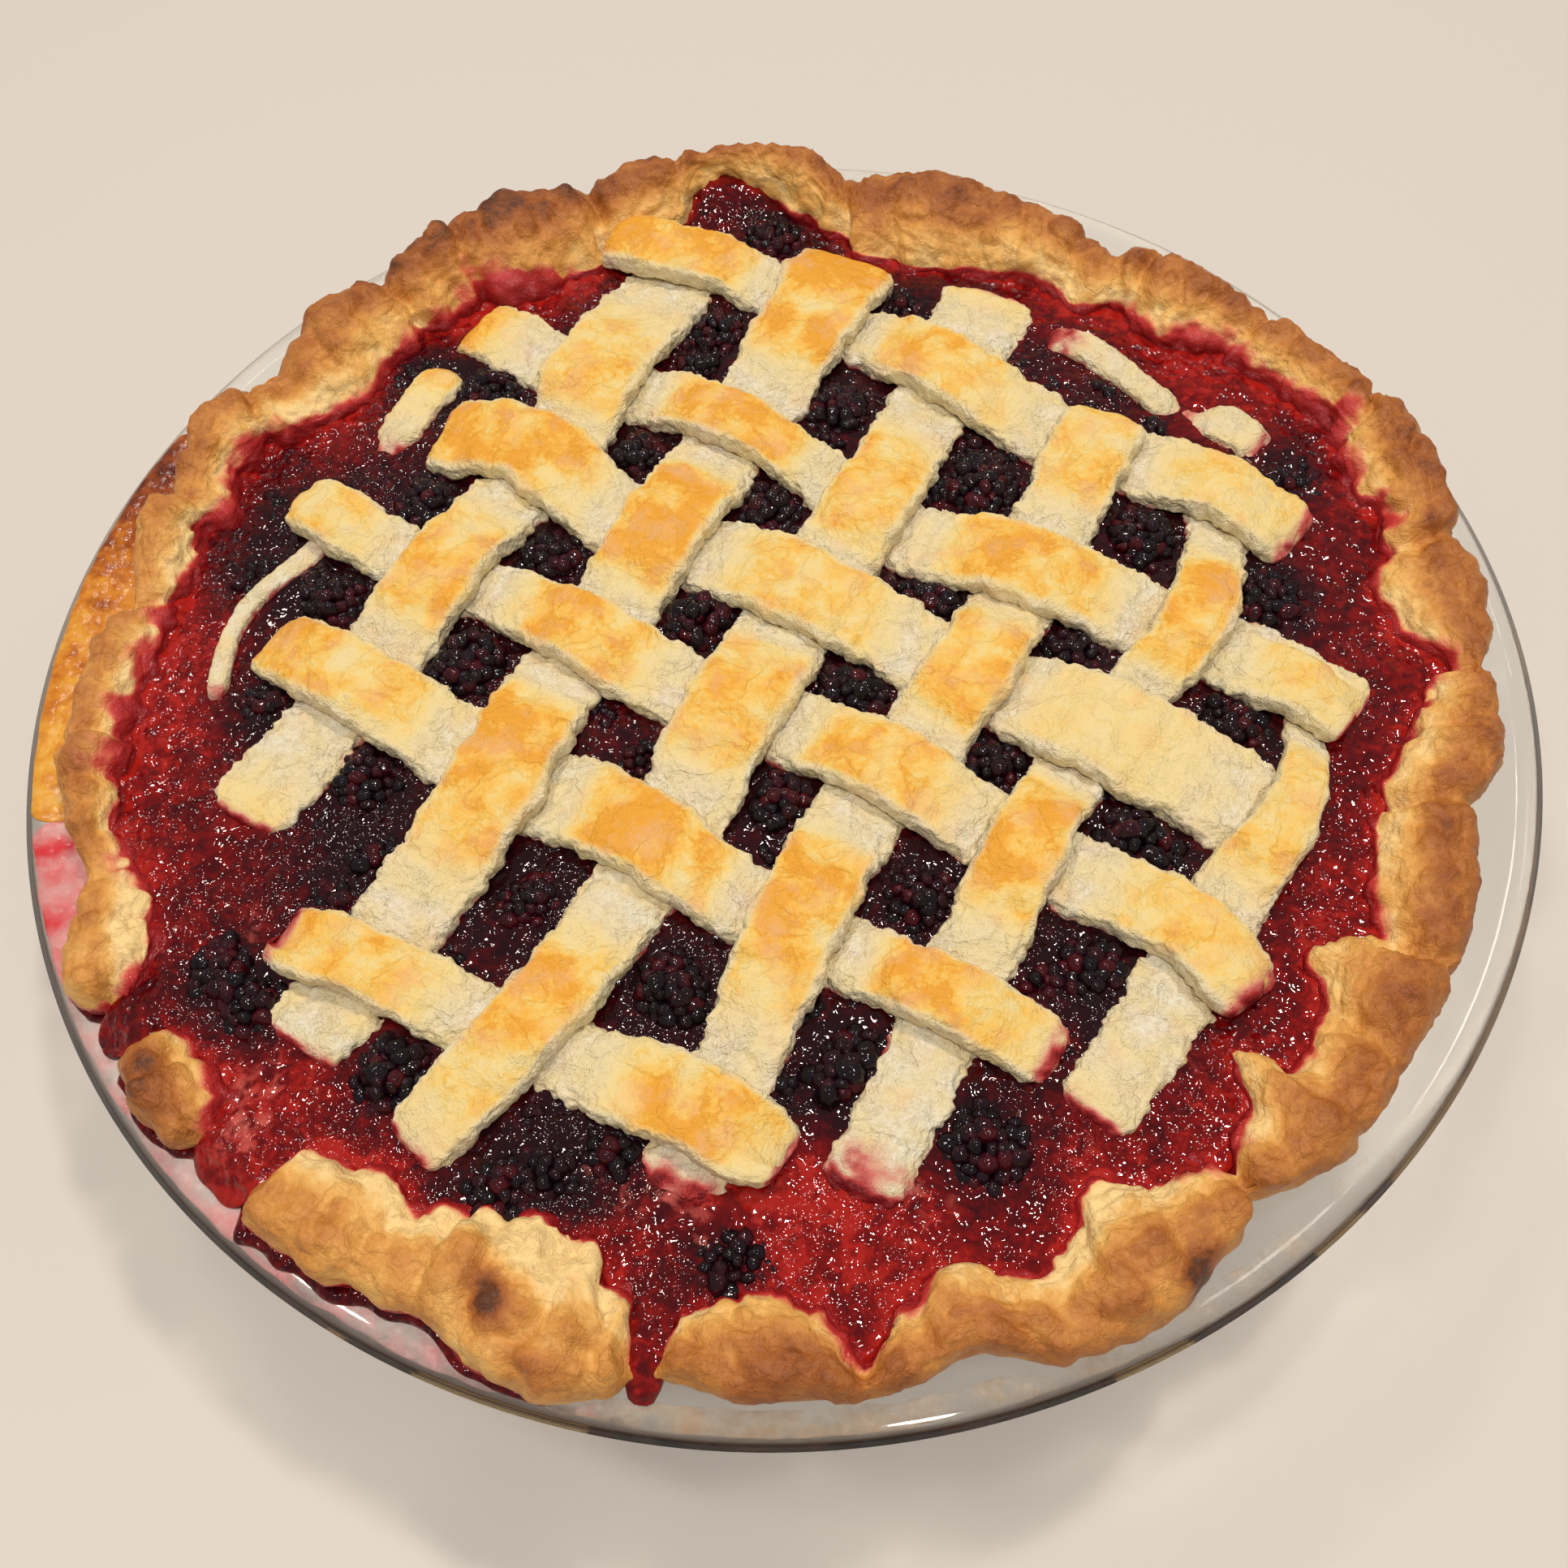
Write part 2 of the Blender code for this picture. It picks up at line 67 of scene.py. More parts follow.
VIEW_RISE = math.radians(54.88)
VIEW_REACH = 0.2637
VIEW_PIVOT = Vector((0, 0, 0.038))
VIEW_TURN, VIEW_PITCH, VIEW_ROLL = (math.radians(a) for a in (0.03, -4.75, -3.37))
LAMP_TARGET = Vector((0, 0, 0.03))
LAMP_SIZE = 0.12
FLOOR_HALF = 2.0


def place_camera():
    """The camera looks at the pivot from VIEW_REACH away, then is turned, pitched and rolled."""
    ahead = Vector((0, math.cos(VIEW_RISE), -math.sin(VIEW_RISE)))
    right = Vector((1, 0, 0))
    up = right.cross(ahead)
    pitched = ahead * math.cos(VIEW_PITCH) + up * math.sin(VIEW_PITCH)
    up = up * math.cos(VIEW_PITCH) - ahead * math.sin(VIEW_PITCH)
    look = pitched * math.cos(VIEW_TURN) + right * math.sin(VIEW_TURN)
    right = right * math.cos(VIEW_TURN) - pitched * math.sin(VIEW_TURN)
    rolled_right = right * math.cos(VIEW_ROLL) + up * math.sin(VIEW_ROLL)
    rolled_up = up * math.cos(VIEW_ROLL) - right * math.sin(VIEW_ROLL)
    camera = bpy.data.objects.new("camera", bpy.data.cameras.new("camera"))
    bpy.context.scene.collection.objects.link(camera)
    turn = Matrix((rolled_right, rolled_up, -look)).transposed()
    camera.matrix_world = Matrix.Translation(VIEW_PIVOT - ahead * VIEW_REACH) @ turn.to_4x4()
    camera.data.sensor_width = 36.0
    camera.data.lens = 36.0
    camera.data.clip_start, camera.data.clip_end = 0.01, 20.0
    bpy.context.scene.camera = camera


def add_lamp(name, place, power, colour):
    """A round lamp of LAMP_SIZE that looks at the pie."""
    lamp = bpy.data.lights.new(name, "AREA")
    lamp.shape, lamp.size, lamp.energy, lamp.color = "DISK", LAMP_SIZE, power, colour
    obj = bpy.data.objects.new(name, lamp)
    obj.location = place
    obj.rotation_mode = "QUATERNION"
    obj.rotation_quaternion = (LAMP_TARGET - Vector(place)).to_track_quat("-Z", "Y")
    bpy.context.scene.collection.objects.link(obj)


def add_node(tree, kind, inputs=None, **settings):
    """A shader node. Its inputs are numbers, colours or other nodes' output sockets."""
    node = tree.nodes.new(kind)
    for key, value in settings.items():
        setattr(node, key, value)
    for key, value in (inputs or {}).items():
        if isinstance(value, bpy.types.NodeSocket):
            tree.links.new(value, node.inputs[key])
        else:
            node.inputs[key].default_value = value
    return node


def new_material(name, sockets):
    """A material, its tree and its Principled BSDF, whose own sockets take the values given."""
    material = bpy.data.materials.new(name)
    material.use_nodes = True
    shader = material.node_tree.nodes["Principled BSDF"]
    for socket, value in sockets.items():
        shader.inputs[socket].default_value = value
    return material, material.node_tree, shader


place_camera()
add_lamp("lamp_key", (0.30, 0.42, 1.3), 6.4, (1.0, 0.92, 0.82))
add_lamp("lamp_left", (-0.50, 0.05, 1.2), 3.0, (1.0, 0.94, 0.86))
add_lamp("lamp_front", (0.15, -0.55, 1.3), 5.6, (1.0, 0.97, 0.93))
add_lamp("lamp_back", (-0.42, 0.78, 1.2), 2.2, (1.0, 0.90, 0.80))
world = bpy.data.worlds.new("room")
bpy.context.scene.world = world
world.use_nodes = True
world.node_tree.nodes["Background"].inputs["Color"].default_value = (0.98, 0.95, 0.92, 1)
world.node_tree.nodes["Background"].inputs["Strength"].default_value = 0.38
bpy.context.scene.view_settings.view_transform = "Standard"

floor_mesh = bpy.data.meshes.new("floor")
floor_corners = [(x * FLOOR_HALF, y * FLOOR_HALF, 0) for x, y in ((-1, -1), (1, -1), (1, 1), (-1, 1))]
floor_mesh.from_pydata(floor_corners, [], [(0, 1, 2, 3)])
floor = bpy.data.objects.new("floor", floor_mesh)
bpy.context.scene.collection.objects.link(floor)
floor_mesh.materials.append(new_material("pale_floor", {
    "Base Color": (0.66, 0.605, 0.545, 1), "Roughness": 0.45})[0])

# ---------------------------------------------------------------- glass dish
# A pressed clear glass pie dish: flat foot, sloping wall and a flat flange with a rolled edge.
# It is turned from one smooth profile and stands for the CAD dish.

MM = 0.001
_, dish_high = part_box("glass_dish")
DISH_R = dish_high[0] / MM
DISH_H = dish_high[2] / MM
DISH_INSIDE_Z = 4.6
DISH_PROFILE = (
    (0.0, 0.0), (70.0, 0.0), (83.0, 0.0), (86.0, 0.5), (88.6, 2.2), (90.3, 6.0), (99.6, 19.2),
    (108.6, 32.0), (109.8, 33.6), (112.0, 34.5), (119.0, 34.7), (122.2, 34.9), (123.6, 35.7),
    (DISH_R, 36.6), (123.6, 37.6), (122.2, DISH_H), (120.0, 37.9), (113.0, 37.5), (108.6, 37.2),
    (106.4, 36.2), (105.0, 34.7), (96.0, 22.4), (88.0, 11.4), (86.4, 8.6), (84.0, 6.4),
    (80.0, 4.9), (60.0, DISH_INSIDE_Z), (0.0, DISH_INSIDE_Z),
)


def through(a, b, c, d, t):
    """A Catmull-Rom span from b at t = 0 to c at t = 1, with a before it and d after it."""
    return 0.5 * (2 * b + (c - a) * t + (2 * a - 5 * b + 4 * c - d) * t**2
                  + (3 * b - a - 3 * c + d) * t**3)


def eased_path(points, count, per_span=24):
    """Points on a Catmull-Rom curve through the given ones, evenly spaced along it."""
    p = np.asarray(points, float)
    p = np.concatenate([2 * p[:1] - p[1:2], p, 2 * p[-1:] - p[-2:-1]])
    t = np.linspace(0, 1, per_span, endpoint=False)[:, None, None]
    dense = through(p[:-3], p[1:-2], p[2:-1], p[3:], t)
    dense = np.concatenate([dense.transpose(1, 0, 2).reshape(-1, p.shape[1]), p[-2:-1]])
    reach = np.concatenate([[0], np.cumsum(np.linalg.norm(np.diff(dense, axis=0), axis=1))])
    even = np.linspace(0, reach[-1], count)
    return np.stack([np.interp(even, reach, dense[:, k]) for k in range(p.shape[1])], axis=1)


def add_piece(name, points, faces, material, fields):
    """A smooth mesh of points in mm, with float attributes by name, on the pie's one body."""
    mesh = bpy.data.meshes.new(name)
    mesh.from_pydata(points * MM, [], faces)
    for key, values in fields.items():
        layer = mesh.attributes.new(key, "FLOAT", "POINT")
        layer.data.foreach_set("value", values.astype(np.float32))
    mesh.materials.append(material)
    mesh.shade_smooth()
    piece = bpy.data.objects.new(name, mesh)
    bpy.context.scene.collection.objects.link(piece)
    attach(piece, "root")
    return piece


def add_surface(name, grid, material, caps=(), loop_rows=False, fields=None):
    """A mesh from a grid of points in mm whose columns run round and join up.

    caps holds (row, centre point) pairs: that first or last row is closed by a fan to the point.
    loop_rows joins the last row to the first. fields are float attributes of the grid's shape.
    """
    rows, cols = grid.shape[:2]
    index = np.arange(rows * cols).reshape(rows, cols)
    upper = np.roll(index, -1, axis=0) if loop_rows else index[1:]
    lower = index if loop_rows else index[:-1]
    quads = np.stack([lower, np.roll(lower, -1, axis=1), np.roll(upper, -1, axis=1), upper], -1)
    faces = quads.reshape(-1, 4).tolist()
    points = [grid.reshape(-1, 3)]
    values = {key: [np.asarray(value, float).ravel()] for key, value in (fields or {}).items()}
    for row, centre in caps:
        middle = rows * cols + len(points) - 1
        ring = index[row]
        after = np.roll(ring, -1)
        fan = [after, ring] if row == 0 else [ring, after]
        faces += np.stack(fan + [np.full(cols, middle)], -1).tolist()
        points.append(np.asarray(centre, float).reshape(1, 3))
        for key in values:
            values[key].append(np.array([values[key][0].reshape(rows, cols)[row].mean()]))
    values = {key: np.concatenate(parts) for key, parts in values.items()}
    return add_piece(name, np.concatenate(points), faces, material, values)


def polar_points(r, turn, z):
    """Points at radius r and height z, turned by an angle in radians round the vertical axis."""
    r, turn, z = np.broadcast_arrays(r, turn, z)
    return np.stack([r * np.cos(turn), r * np.sin(turn), z], -1)


def turned_grid(profile, sides):
    """Each (r, z) of the profile carried round the vertical axis."""
    return polar_points(profile[:, :1], np.linspace(0, math.tau, sides, endpoint=False), profile[:, 1:])


def math_node(tree, operation, first, second=0.0, third=0.0, clamp=False):
    return add_node(tree, "ShaderNodeMath", {0: first, 1: second, 2: third},
                    operation=operation, use_clamp=clamp).outputs[0]


def scaled(tree, value, factor, base=0.0, clamp=False):
    """value x factor + base."""
    return math_node(tree, "MULTIPLY_ADD", value, factor, base, clamp)


def noise_node(tree, scale, detail=2.0, roughness=0.5, distortion=0.0):
    """Noise from 0 to 1 on the piece's own coordinates, with about scale blotches to a metre."""
    place = add_node(tree, "ShaderNodeTexCoord").outputs["Object"]
    return add_node(tree, "ShaderNodeTexNoise", {
        "Vector": place, "Scale": scale, "Detail": detail, "Roughness": roughness,
        "Distortion": distortion}).outputs["Fac"]


def add_relief(tree, shader, height, strength, depth):
    """Fine relief by shading, with its depth in metres."""
    bump = add_node(tree, "ShaderNodeBump", {"Height": height, "Strength": strength, "Distance": depth})
    tree.links.new(bump.outputs["Normal"], shader.inputs["Normal"])


glass, tree, shader = new_material("clear_pressed_glass", {
    "Base Color": (0.95, 0.965, 0.955, 1), "Roughness": 0.04, "IOR": 1.36, "Transmission Weight": 1.0})
add_relief(tree, shader, noise_node(tree, 60.0), 0.12, 0.001)
# The lamps' light passes through the clear wall, so the flange hardly darkens the table
ray = add_node(tree, "ShaderNodeLightPath")
LIGHT_THROUGH = 0.85
shade = scaled(tree, ray.outputs["Is Shadow Ray"], -LIGHT_THROUGH, 1.0)
tree.links.new(shade, shader.inputs["Alpha"])

profile = eased_path(DISH_PROFILE, 120)
dish_grid = turned_grid(profile[1:-1], 256)
dish_grid[..., 2] = np.maximum(dish_grid[..., 2], 0.0)
dish = add_surface("pie_dish", dish_grid, glass,
                   caps=((0, (0, 0, 0)), (-1, (0, 0, DISH_INSIDE_Z))))
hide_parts("glass_dish")

# ---------------------------------------------------------------- crust
# Butter pastry that lines the dish and is crimped by hand over its flange: pillowy folds, browned
# on their backs, paler inside, with flakes and blisters, and soaked pink where juice climbed it.

# angle in degrees, outer reach, inner lip, crest height
RIM = np.array((
    (2, 118, 99, 47), (5, 116, 103, 45.5), (9, 118, 106, 47), (14, 120.5, 104, 48.5),
    (18.5, 120.5, 105, 48.5), (21.5, 118.5, 108, 47.5), (26, 117.5, 105, 48), (31, 117, 104, 47.5),
    (34.5, 114.5, 103, 46.5), (41, 114.5, 96, 49), (46, 113.5, 98, 48), (51, 109.5, 94, 46),
    (56, 111, 96, 49), (62, 112, 94, 49.5), (70, 113.5, 91, 50.5), (75, 112.5, 92, 49),
    (78, 109.5, 93, 47.5), (80.5, 111, 98, 48.5), (84, 115, 102, 51), (88, 116, 107, 51),
    (92, 116.5, 110.5, 50), (95, 116, 109, 50), (97, 115, 102, 50.5), (102, 116, 99, 51),
    (106, 114, 97, 48.5), (110, 115, 95, 50), (115, 117.5, 93, 52.5), (119, 116.5, 95, 50.5),
    (122, 116.5, 98.5, 51), (126, 115.5, 97, 50), (129.5, 112.5, 98, 47.5), (133, 115, 97.5, 49),
    (136.5, 116, 95, 50.5), (140.5, 113.5, 93, 48), (145, 110.5, 96, 45.5), (149, 115, 100, 48.5),
    (152.5, 116, 103, 49), (156, 113.5, 102, 47.5), (160, 112, 99, 46), (163.5, 114, 103, 48),
    (167.5, 112.5, 100, 47), (172, 109.5, 102, 44.5), (178, 114, 102, 46.5), (184, 115, 105, 46),
    (188.5, 117, 106, 46.5), (194, 115, 107, 45.5), (198.5, 113.5, 106, 43.5), (202, 116.5, 104.5, 45.5),
    (205, 120, 106, 46), (207.5, 121, 108.5, 45.5), (209.2, 119.5, 110, 44.5), (210.4, 117, 113.5, 40.2),
    (212, 116, 114, 39.6), (213.6, 117, 113, 40.5), (215, 119.5, 109, 45), (218.5, 120.5, 107.5, 46.5),
    (221.8, 119.5, 109, 45.5), (223.6, 116, 113, 40.4), (226.2, 115, 113, 39.6),
    (228.2, 115.5, 112.5, 40.4), (229.8, 119.5, 105, 45.5), (236, 119.5, 103, 46), (240, 118, 105, 45),
    (244, 117.5, 101, 46), (248, 121, 100, 46.5), (253, 122, 101, 46.5), (256.4, 120, 106, 45.5),
    (258.7, 116.5, 112.5, 40.6), (261, 117, 107, 44.5), (265.5, 118.5, 103.5, 46), (270, 118.5, 106, 46),
    (273, 119, 113, 44), (276, 118, 108, 45), (280, 116, 104, 46), (286, 120, 108, 45),
    (293, 120.5, 100, 47), (298, 117, 105, 46), (302, 114, 107, 44.5), (305.5, 116, 105, 46),
    (309, 117.5, 96, 46.5), (312, 117, 104, 46), (317, 116, 102, 45.5), (321, 116, 96, 46.5),
    (325, 116, 103, 45), (331, 115.5, 99, 47), (336, 114, 98, 46), (339.5, 112.5, 98, 45),
    (345, 116, 101, 47), (350, 115.5, 104, 46), (353.5, 114.5, 108, 44.5), (357, 117, 101, 46),
))
# Creases between folds: angle at the outer edge, angle at the lip, depth
CREASES = (
    (83, 78, 1.0), (80, 79, 2.0), (76, 73, 0.7), (61.5, 59, 1.0), (53.5, 52.5, 1.2), (50.5, 47.5, 1.8),
    (46, 46, 1.4), (38.5, 38, 0.6), (33.5, 34.5, 1.5), (21.8, 19, 2.0), (16.5, 11, 0.8), (6, 5.5, 2.0),
    (173, 171, 1.5), (160, 162, 1.6), (156, 155, 0.9), (146.5, 151, 2.2), (139, 141.5, 1.0),
    (129.8, 129.5, 1.8), (126, 125, 0.7), (120.8, 121.8, 1.5), (113, 111.5, 0.7), (106.8, 106, 2.2),
    (98, 96.5, 1.2), (256, 255, 1.0), (247, 246, 0.8), (243, 243.5, 1.2), (238.5, 239, 0.8),
    (209.5, 210, 0.9), (204.5, 205, 1.0), (195.5, 196, 1.3), (190.5, 190, 0.8), (186.5, 186, 1.3),
    (353, 352.5, 1.8), (348.5, 344.5, 1.2), (339.8, 338, 2.2), (325.5, 325, 1.6), (316, 317, 1.0),
    (310.5, 311, 1.2), (301.5, 302, 1.8), (284, 283, 0.8), (273, 273, 1.2), (264.5, 264, 0.6),
    (217, 218, 0.9), (251, 252, 0.6), (234, 234, 0.5), (289, 290, 0.7), (295, 296, 0.6),
)
# How brown the bake is round the rim, from 0 to 1
BAKE = np.array((
    (0, 0.74), (14, 0.74), (30, 0.7), (45, 0.68), (60, 0.66), (70, 0.68), (85, 0.66), (100, 0.68),
    (115, 0.86), (125, 0.8), (136, 0.68), (146, 0.54), (153, 0.62), (166, 0.46), (180, 0.58), (190, 0.54),
    (208, 0.46), (220, 0.72), (236, 0.48), (250, 0.36), (262, 0.6), (268, 0.84), (281, 0.7), (293, 0.56),
    (310, 0.74), (322, 0.74), (331, 0.78), (345, 0.66),
))
# How far above the lip juice has soaked the dough
SOAK = np.array((
    (0, 1.5), (6, 2), (10, 4), (14, 4), (19, 3), (21.5, 8), (24, 5), (31, 3), (38, 4), (44, 3), (48, 1),
    (53, 1.5), (60, 0.8), (68, 0), (78, 0), (88, 0.5), (96, 0.5), (98, 0), (109, 0), (112, 3), (117, 9),
    (121, 7), (124, 3.5), (130, 3), (134, 2), (142, 2), (147, 3), (153, 4), (158, 3), (162, 4), (166, 2),
    (171, 3), (174, 7), (177, 5), (180, 4), (182, 2), (184, 6), (187, 3), (189, 5), (192, 2), (195, 2),
    (199, 6), (203, 1), (207, 1), (210, 4), (214, 5), (216.5, 1), (220.5, 3), (223.5, 6), (229, 5),
    (231, 1), (240, 1), (250, 0.6), (256, 1.5), (258.5, 6), (261, 1.5), (273, 3), (281, 0.6), (288, 2),
    (293, 0.6), (303, 3), (307, 0.5), (314, 2), (321, 0.5), (325, 2), (336, 1), (343, 1.5), (353, 4),
    (357, 2.5),
))
JUICE_Z = 41.0
LEDGE_R = 103.0
RIM_COLS = 1080
CREST_TOP = cad_high[2] / MM
CREST_Z = 45.5      # a usual height of the crest
GAP_CREST_Z = 41.5  # the crest lies lower than this in the gaps, and has no creases there
SHOWN_FROM_Z = 38.3 # below this the crust lies on the flange and stays smooth
RIM_REACH = 123.0   # the farthest that the crust hangs out
BAKE_MOST = 0.92


def rise_between(t):
    """0 below 0, 1 above 1, and eased in between by 3t^2 - 2t^3."""
    t = np.clip(t, 0.0, 1.0)
    return t * t * (3 - 2 * t)


def around(angle, table, column):
    """A table's column at angles in degrees, eased from row to row round the circle."""
    knots = np.concatenate([table[:, 0] - 360, table[:, 0], table[:, 0] + 360])
    values = np.tile(table[:, column], 3)
    i = np.searchsorted(knots, angle, side="right") - 1
    share = rise_between((angle - knots[i]) / (knots[i + 1] - knots[i]))
    return values[i] + (values[i + 1] - values[i]) * share


def grain(x, y, z, size, seed):
    """Smooth noise from about -1 to 1, with blotches of a size in mm.

    Every corner of a lattice of the given size has a random slope; a point takes the eight slopes
    round it, each times its distance from that corner, blended by 6t^5 - 15t^4 + 10t^3.
    """
    rng = np.random.default_rng(seed)
    order = np.concatenate([rng.permutation(256)] * 2)
    slopes = rng.normal(size=(256, 3)).astype(np.float32)
    slopes /= np.linalg.norm(slopes, axis=1)[:, None]
    shape = np.broadcast(x, y, z).shape
    p = np.stack([np.broadcast_to(v, shape).ravel() for v in (x, y, z)], -1) / size + 31.7 * seed
    cell = np.floor(p).astype(np.int64)
    f = (p - cell).astype(np.float32)
    cell &= 255
    ease = f * f * f * (f * (f * 6 - 15) + 10)
    total = np.zeros(len(p), np.float32)
    for corner in range(8):
        d = np.array([corner & 1, corner >> 1 & 1, corner >> 2], np.int64)
        c = (cell + d) & 255
        slope = slopes[order[order[order[c[:, 0]] + c[:, 1]] + c[:, 2]]]
        share = np.prod(np.where(d == 1, ease, 1 - ease), axis=1)
        total += share * np.einsum("ij,ij->i", slope, f - d.astype(np.float32))
    return (total * 1.5).reshape(shape)


def flat_grain(x, y, size, seed):
    """Smooth noise over the plan, the same at every height."""
    return grain(x, y, 0 * x, size, seed)


def outward(grid, loop_rows):
    """Unit normals of a grid whose columns run round: the cross product of its two directions."""
    along_cols = np.roll(grid, -1, axis=1) - np.roll(grid, 1, axis=1)
    if loop_rows:
        along_rows = np.roll(grid, -1, axis=0) - np.roll(grid, 1, axis=0)
    else:
        along_rows = np.gradient(grid, axis=0)
    normal = np.cross(along_cols, along_rows)
    return normal / np.maximum(np.linalg.norm(normal, axis=-1, keepdims=True), 1e-9)


def rim_corners(angle):
    """The closed cross-section of the rim at each angle, as (r, z) corners.

    They run along the underside on the flange, up the outer edge, over the crest and down to the lip,
    and then under the juice.
    """
    outer, lip, top = (around(angle, RIM, k) for k in (1, 2, 3))
    reach = outer - lip
    edge_z = np.minimum(40.4, top - 1.2)
    ledge = np.minimum(lip, LEDGE_R)
    ledge_z = np.where(lip > LEDGE_R, 39.0, 37.4)
    one = np.ones_like(angle)
    corners = [
        (101.0 * one, 31.0 * one), (104.2 * one, 33.2 * one), (105.2 * one, 35.6 * one),
        (np.minimum(108.0, outer - 3), 37.3 * one), (outer - 1.6, 38.0 * one),
        (outer, edge_z), (outer - 0.05 * reach, top - 0.34 * (top - edge_z)),
        (outer - 0.22 * reach, top), (outer - 0.5 * reach, top - 0.3),
        (lip + 0.2 * reach, JUICE_Z + 0.6 * (top - JUICE_Z)),
        (lip, JUICE_Z * one), (ledge + 0.2, ledge_z),
    ]
    return np.array(corners)


def spun_loop(corners, counts):
    """A closed Catmull-Rom curve through the corners of every angle, with counts points a span."""
    total = len(corners)
    rows = []
    for k, count in enumerate(counts):
        t = (np.arange(count) / count)[:, None, None]
        rows.append(through(*(corners[(k + s) % total] for s in (-1, 0, 1, 2)), t))
    return np.concatenate(rows)


angle = np.linspace(0, 360, RIM_COLS, endpoint=False)
POINTS_A_SPAN = (1, 1, 2, 4, 5, 7, 10, 14, 17, 15, 5, 3)
loop = spun_loop(rim_corners(angle), POINTS_A_SPAN)
turn = np.radians(angle)
rim_r, rim_z = loop[:, 0], loop[:, 1]
rim_grid = polar_points(rim_r, turn, rim_z)
rim_normal = outward(rim_grid, True)
outer_r, lip_r, crest_z = (around(angle, RIM, k) for k in (1, 2, 3))
inward = np.clip((outer_r - rim_r) / (outer_r - lip_r), 0, 1)
shown = rise_between((rim_z - SHOWN_FROM_Z) / 2.0)

x, y, z = np.moveaxis(rim_grid, -1, 0)
warp = 1.7 * grain(x, y, z, 6.5, 11)
fold = np.zeros_like(rim_r)
for outer_angle, lip_angle, depth in CREASES:
    middle = outer_angle + (lip_angle - outer_angle) * inward
    aside = ((angle - middle + 180) % 360 - 180) * np.pi / 180 * rim_r + warp
    deep = depth * (0.45 + 0.55 * rise_between(inward / 0.25))
    groove = np.exp(-np.abs(aside / 0.95) ** 1.5)
    fold -= deep * (groove - 0.4 * np.exp(-((np.abs(aside) - 3.2) / 2.0) ** 2))
puffs = np.abs(grain(x + warp, y - warp, z, 7.5, 12)) - 0.3
lumps = np.abs(grain(x - 0.6 * warp, y + 0.6 * warp, z, 3.7, 13)) - 0.3
crumbs = np.abs(grain(x, y, z, 1.9, 14)) - 0.3
layers = 3.2 * grain(x, y, z, 9.0, 15) + 0.4 * z
ledge = (layers - np.floor(layers)) ** 2 * rise_between(0.5 + 1.6 * grain(x, y, z, 13.0, 16))
back = 0.4 + 0.6 * rise_between((inward - 0.04) / 0.2)
relief = 2.1 * puffs * (0.3 + 0.7 * back) + (1.3 * lumps + 0.45 * crumbs + 0.5 * ledge) * back
relief += 0.5 * grain(x, y, z, 12.0, 17) + 0.12 * grain(x, y, z, 0.95, 18)
raised = rise_between((crest_z - GAP_CREST_Z) / 3.0)
lift = (fold * raised + relief * (0.35 + 0.65 * raised)) * shown
rim_grid = rim_grid + rim_normal * lift[..., None]
far = np.hypot(rim_grid[..., 0], rim_grid[..., 1])
rim_grid[..., :2] *= np.minimum(1, RIM_REACH / far)[..., None]
rim_top = CREST_TOP - 0.6 * np.exp((rim_grid[..., 2] - CREST_TOP) / -0.6).clip(0, 1)
rim_grid[..., 2] = np.minimum(rim_grid[..., 2], rim_top)
above_lip = np.maximum(rim_r - lip_r - 0.5, 0) + 0.25 * np.maximum(rim_z - JUICE_Z - 1, 0)
soak = around(angle, SOAK, 1)
streaks = 0.85 + 0.55 * grain(110 * np.cos(turn), 110 * np.sin(turn), 0.25 * rim_r, 3.2, 19)
streaks += 0.9 * grain(x, y, z, 5.5, 20) + 0.5 * grain(x, y, z, 2.0, 24)
soaked_to = np.maximum(soak * np.maximum(streaks, 0.1) + 0.2, 0.2)
soaked = np.clip(1 - above_lip / soaked_to, 0, 1) * (inward > 0.3)
# Browner on the crests and on the backs of folds, paler towards the lip and under the edge
bake = around(angle, BAKE, 1) - 0.03 + 0.02 * (rim_grid[..., 2] - CREST_Z)
bake -= 0.48 * rise_between((inward - 0.38) / 0.45)
bake += 0.11 * (puffs + lumps) + 0.05 * fold
bake += 0.11 * grain(x, y, z, 9.0, 21) + 0.09 * grain(x, y, z, 4.0, 22)
bake -= 0.16 * rise_between((40.6 - rim_z) / 2.0)
bake = np.minimum(bake, BAKE_MOST)
# Juice baked on under the outer edge, at the front left
skirt_stain = np.exp(-(np.abs((angle - 238) / 12)) ** 4) + np.exp(-(np.abs((angle - 212) / 6.0)) ** 4)
under_edge = rise_between((41.6 - rim_z + 1.2 * grain(x, y, z, 3.0, 23)) / 1.2) * (inward < 0.3)
soaked = np.maximum(soaked, np.clip(skirt_stain, 0, 1) * under_edge)

# Burnt spots: angle, radius, size, strength
for spot_angle, spot_r, size, strength in (
        (248.2, 114, 2.6, 0.7), (247.4, 110.5, 2.3, 0.6), (246.0, 107, 3.2, 0.25),
        (295.5, 118, 3.2, 0.6), (14, 115.5, 3.0, 0.12), (116, 115, 5.0, 0.15),
        (61.5, 109, 3.0, 0.25), (217.5, 114, 4.0, 0.15), (75, 99, 5.0, 0.35),
        (66, 99, 5.0, 0.3), (190, 110, 4.0, 0.3), (252, 119, 3.0, 0.3)):
    a = math.radians(spot_angle)
    gap = np.hypot(x - spot_r * math.cos(a), y - spot_r * math.sin(a))
    bake += strength * np.exp(-(gap / size) ** 2)


def mix_colours(tree, factor, first, second):
    return add_node(tree, "ShaderNodeMix", {0: factor, 6: first, 7: second}, data_type="RGBA").outputs[2]


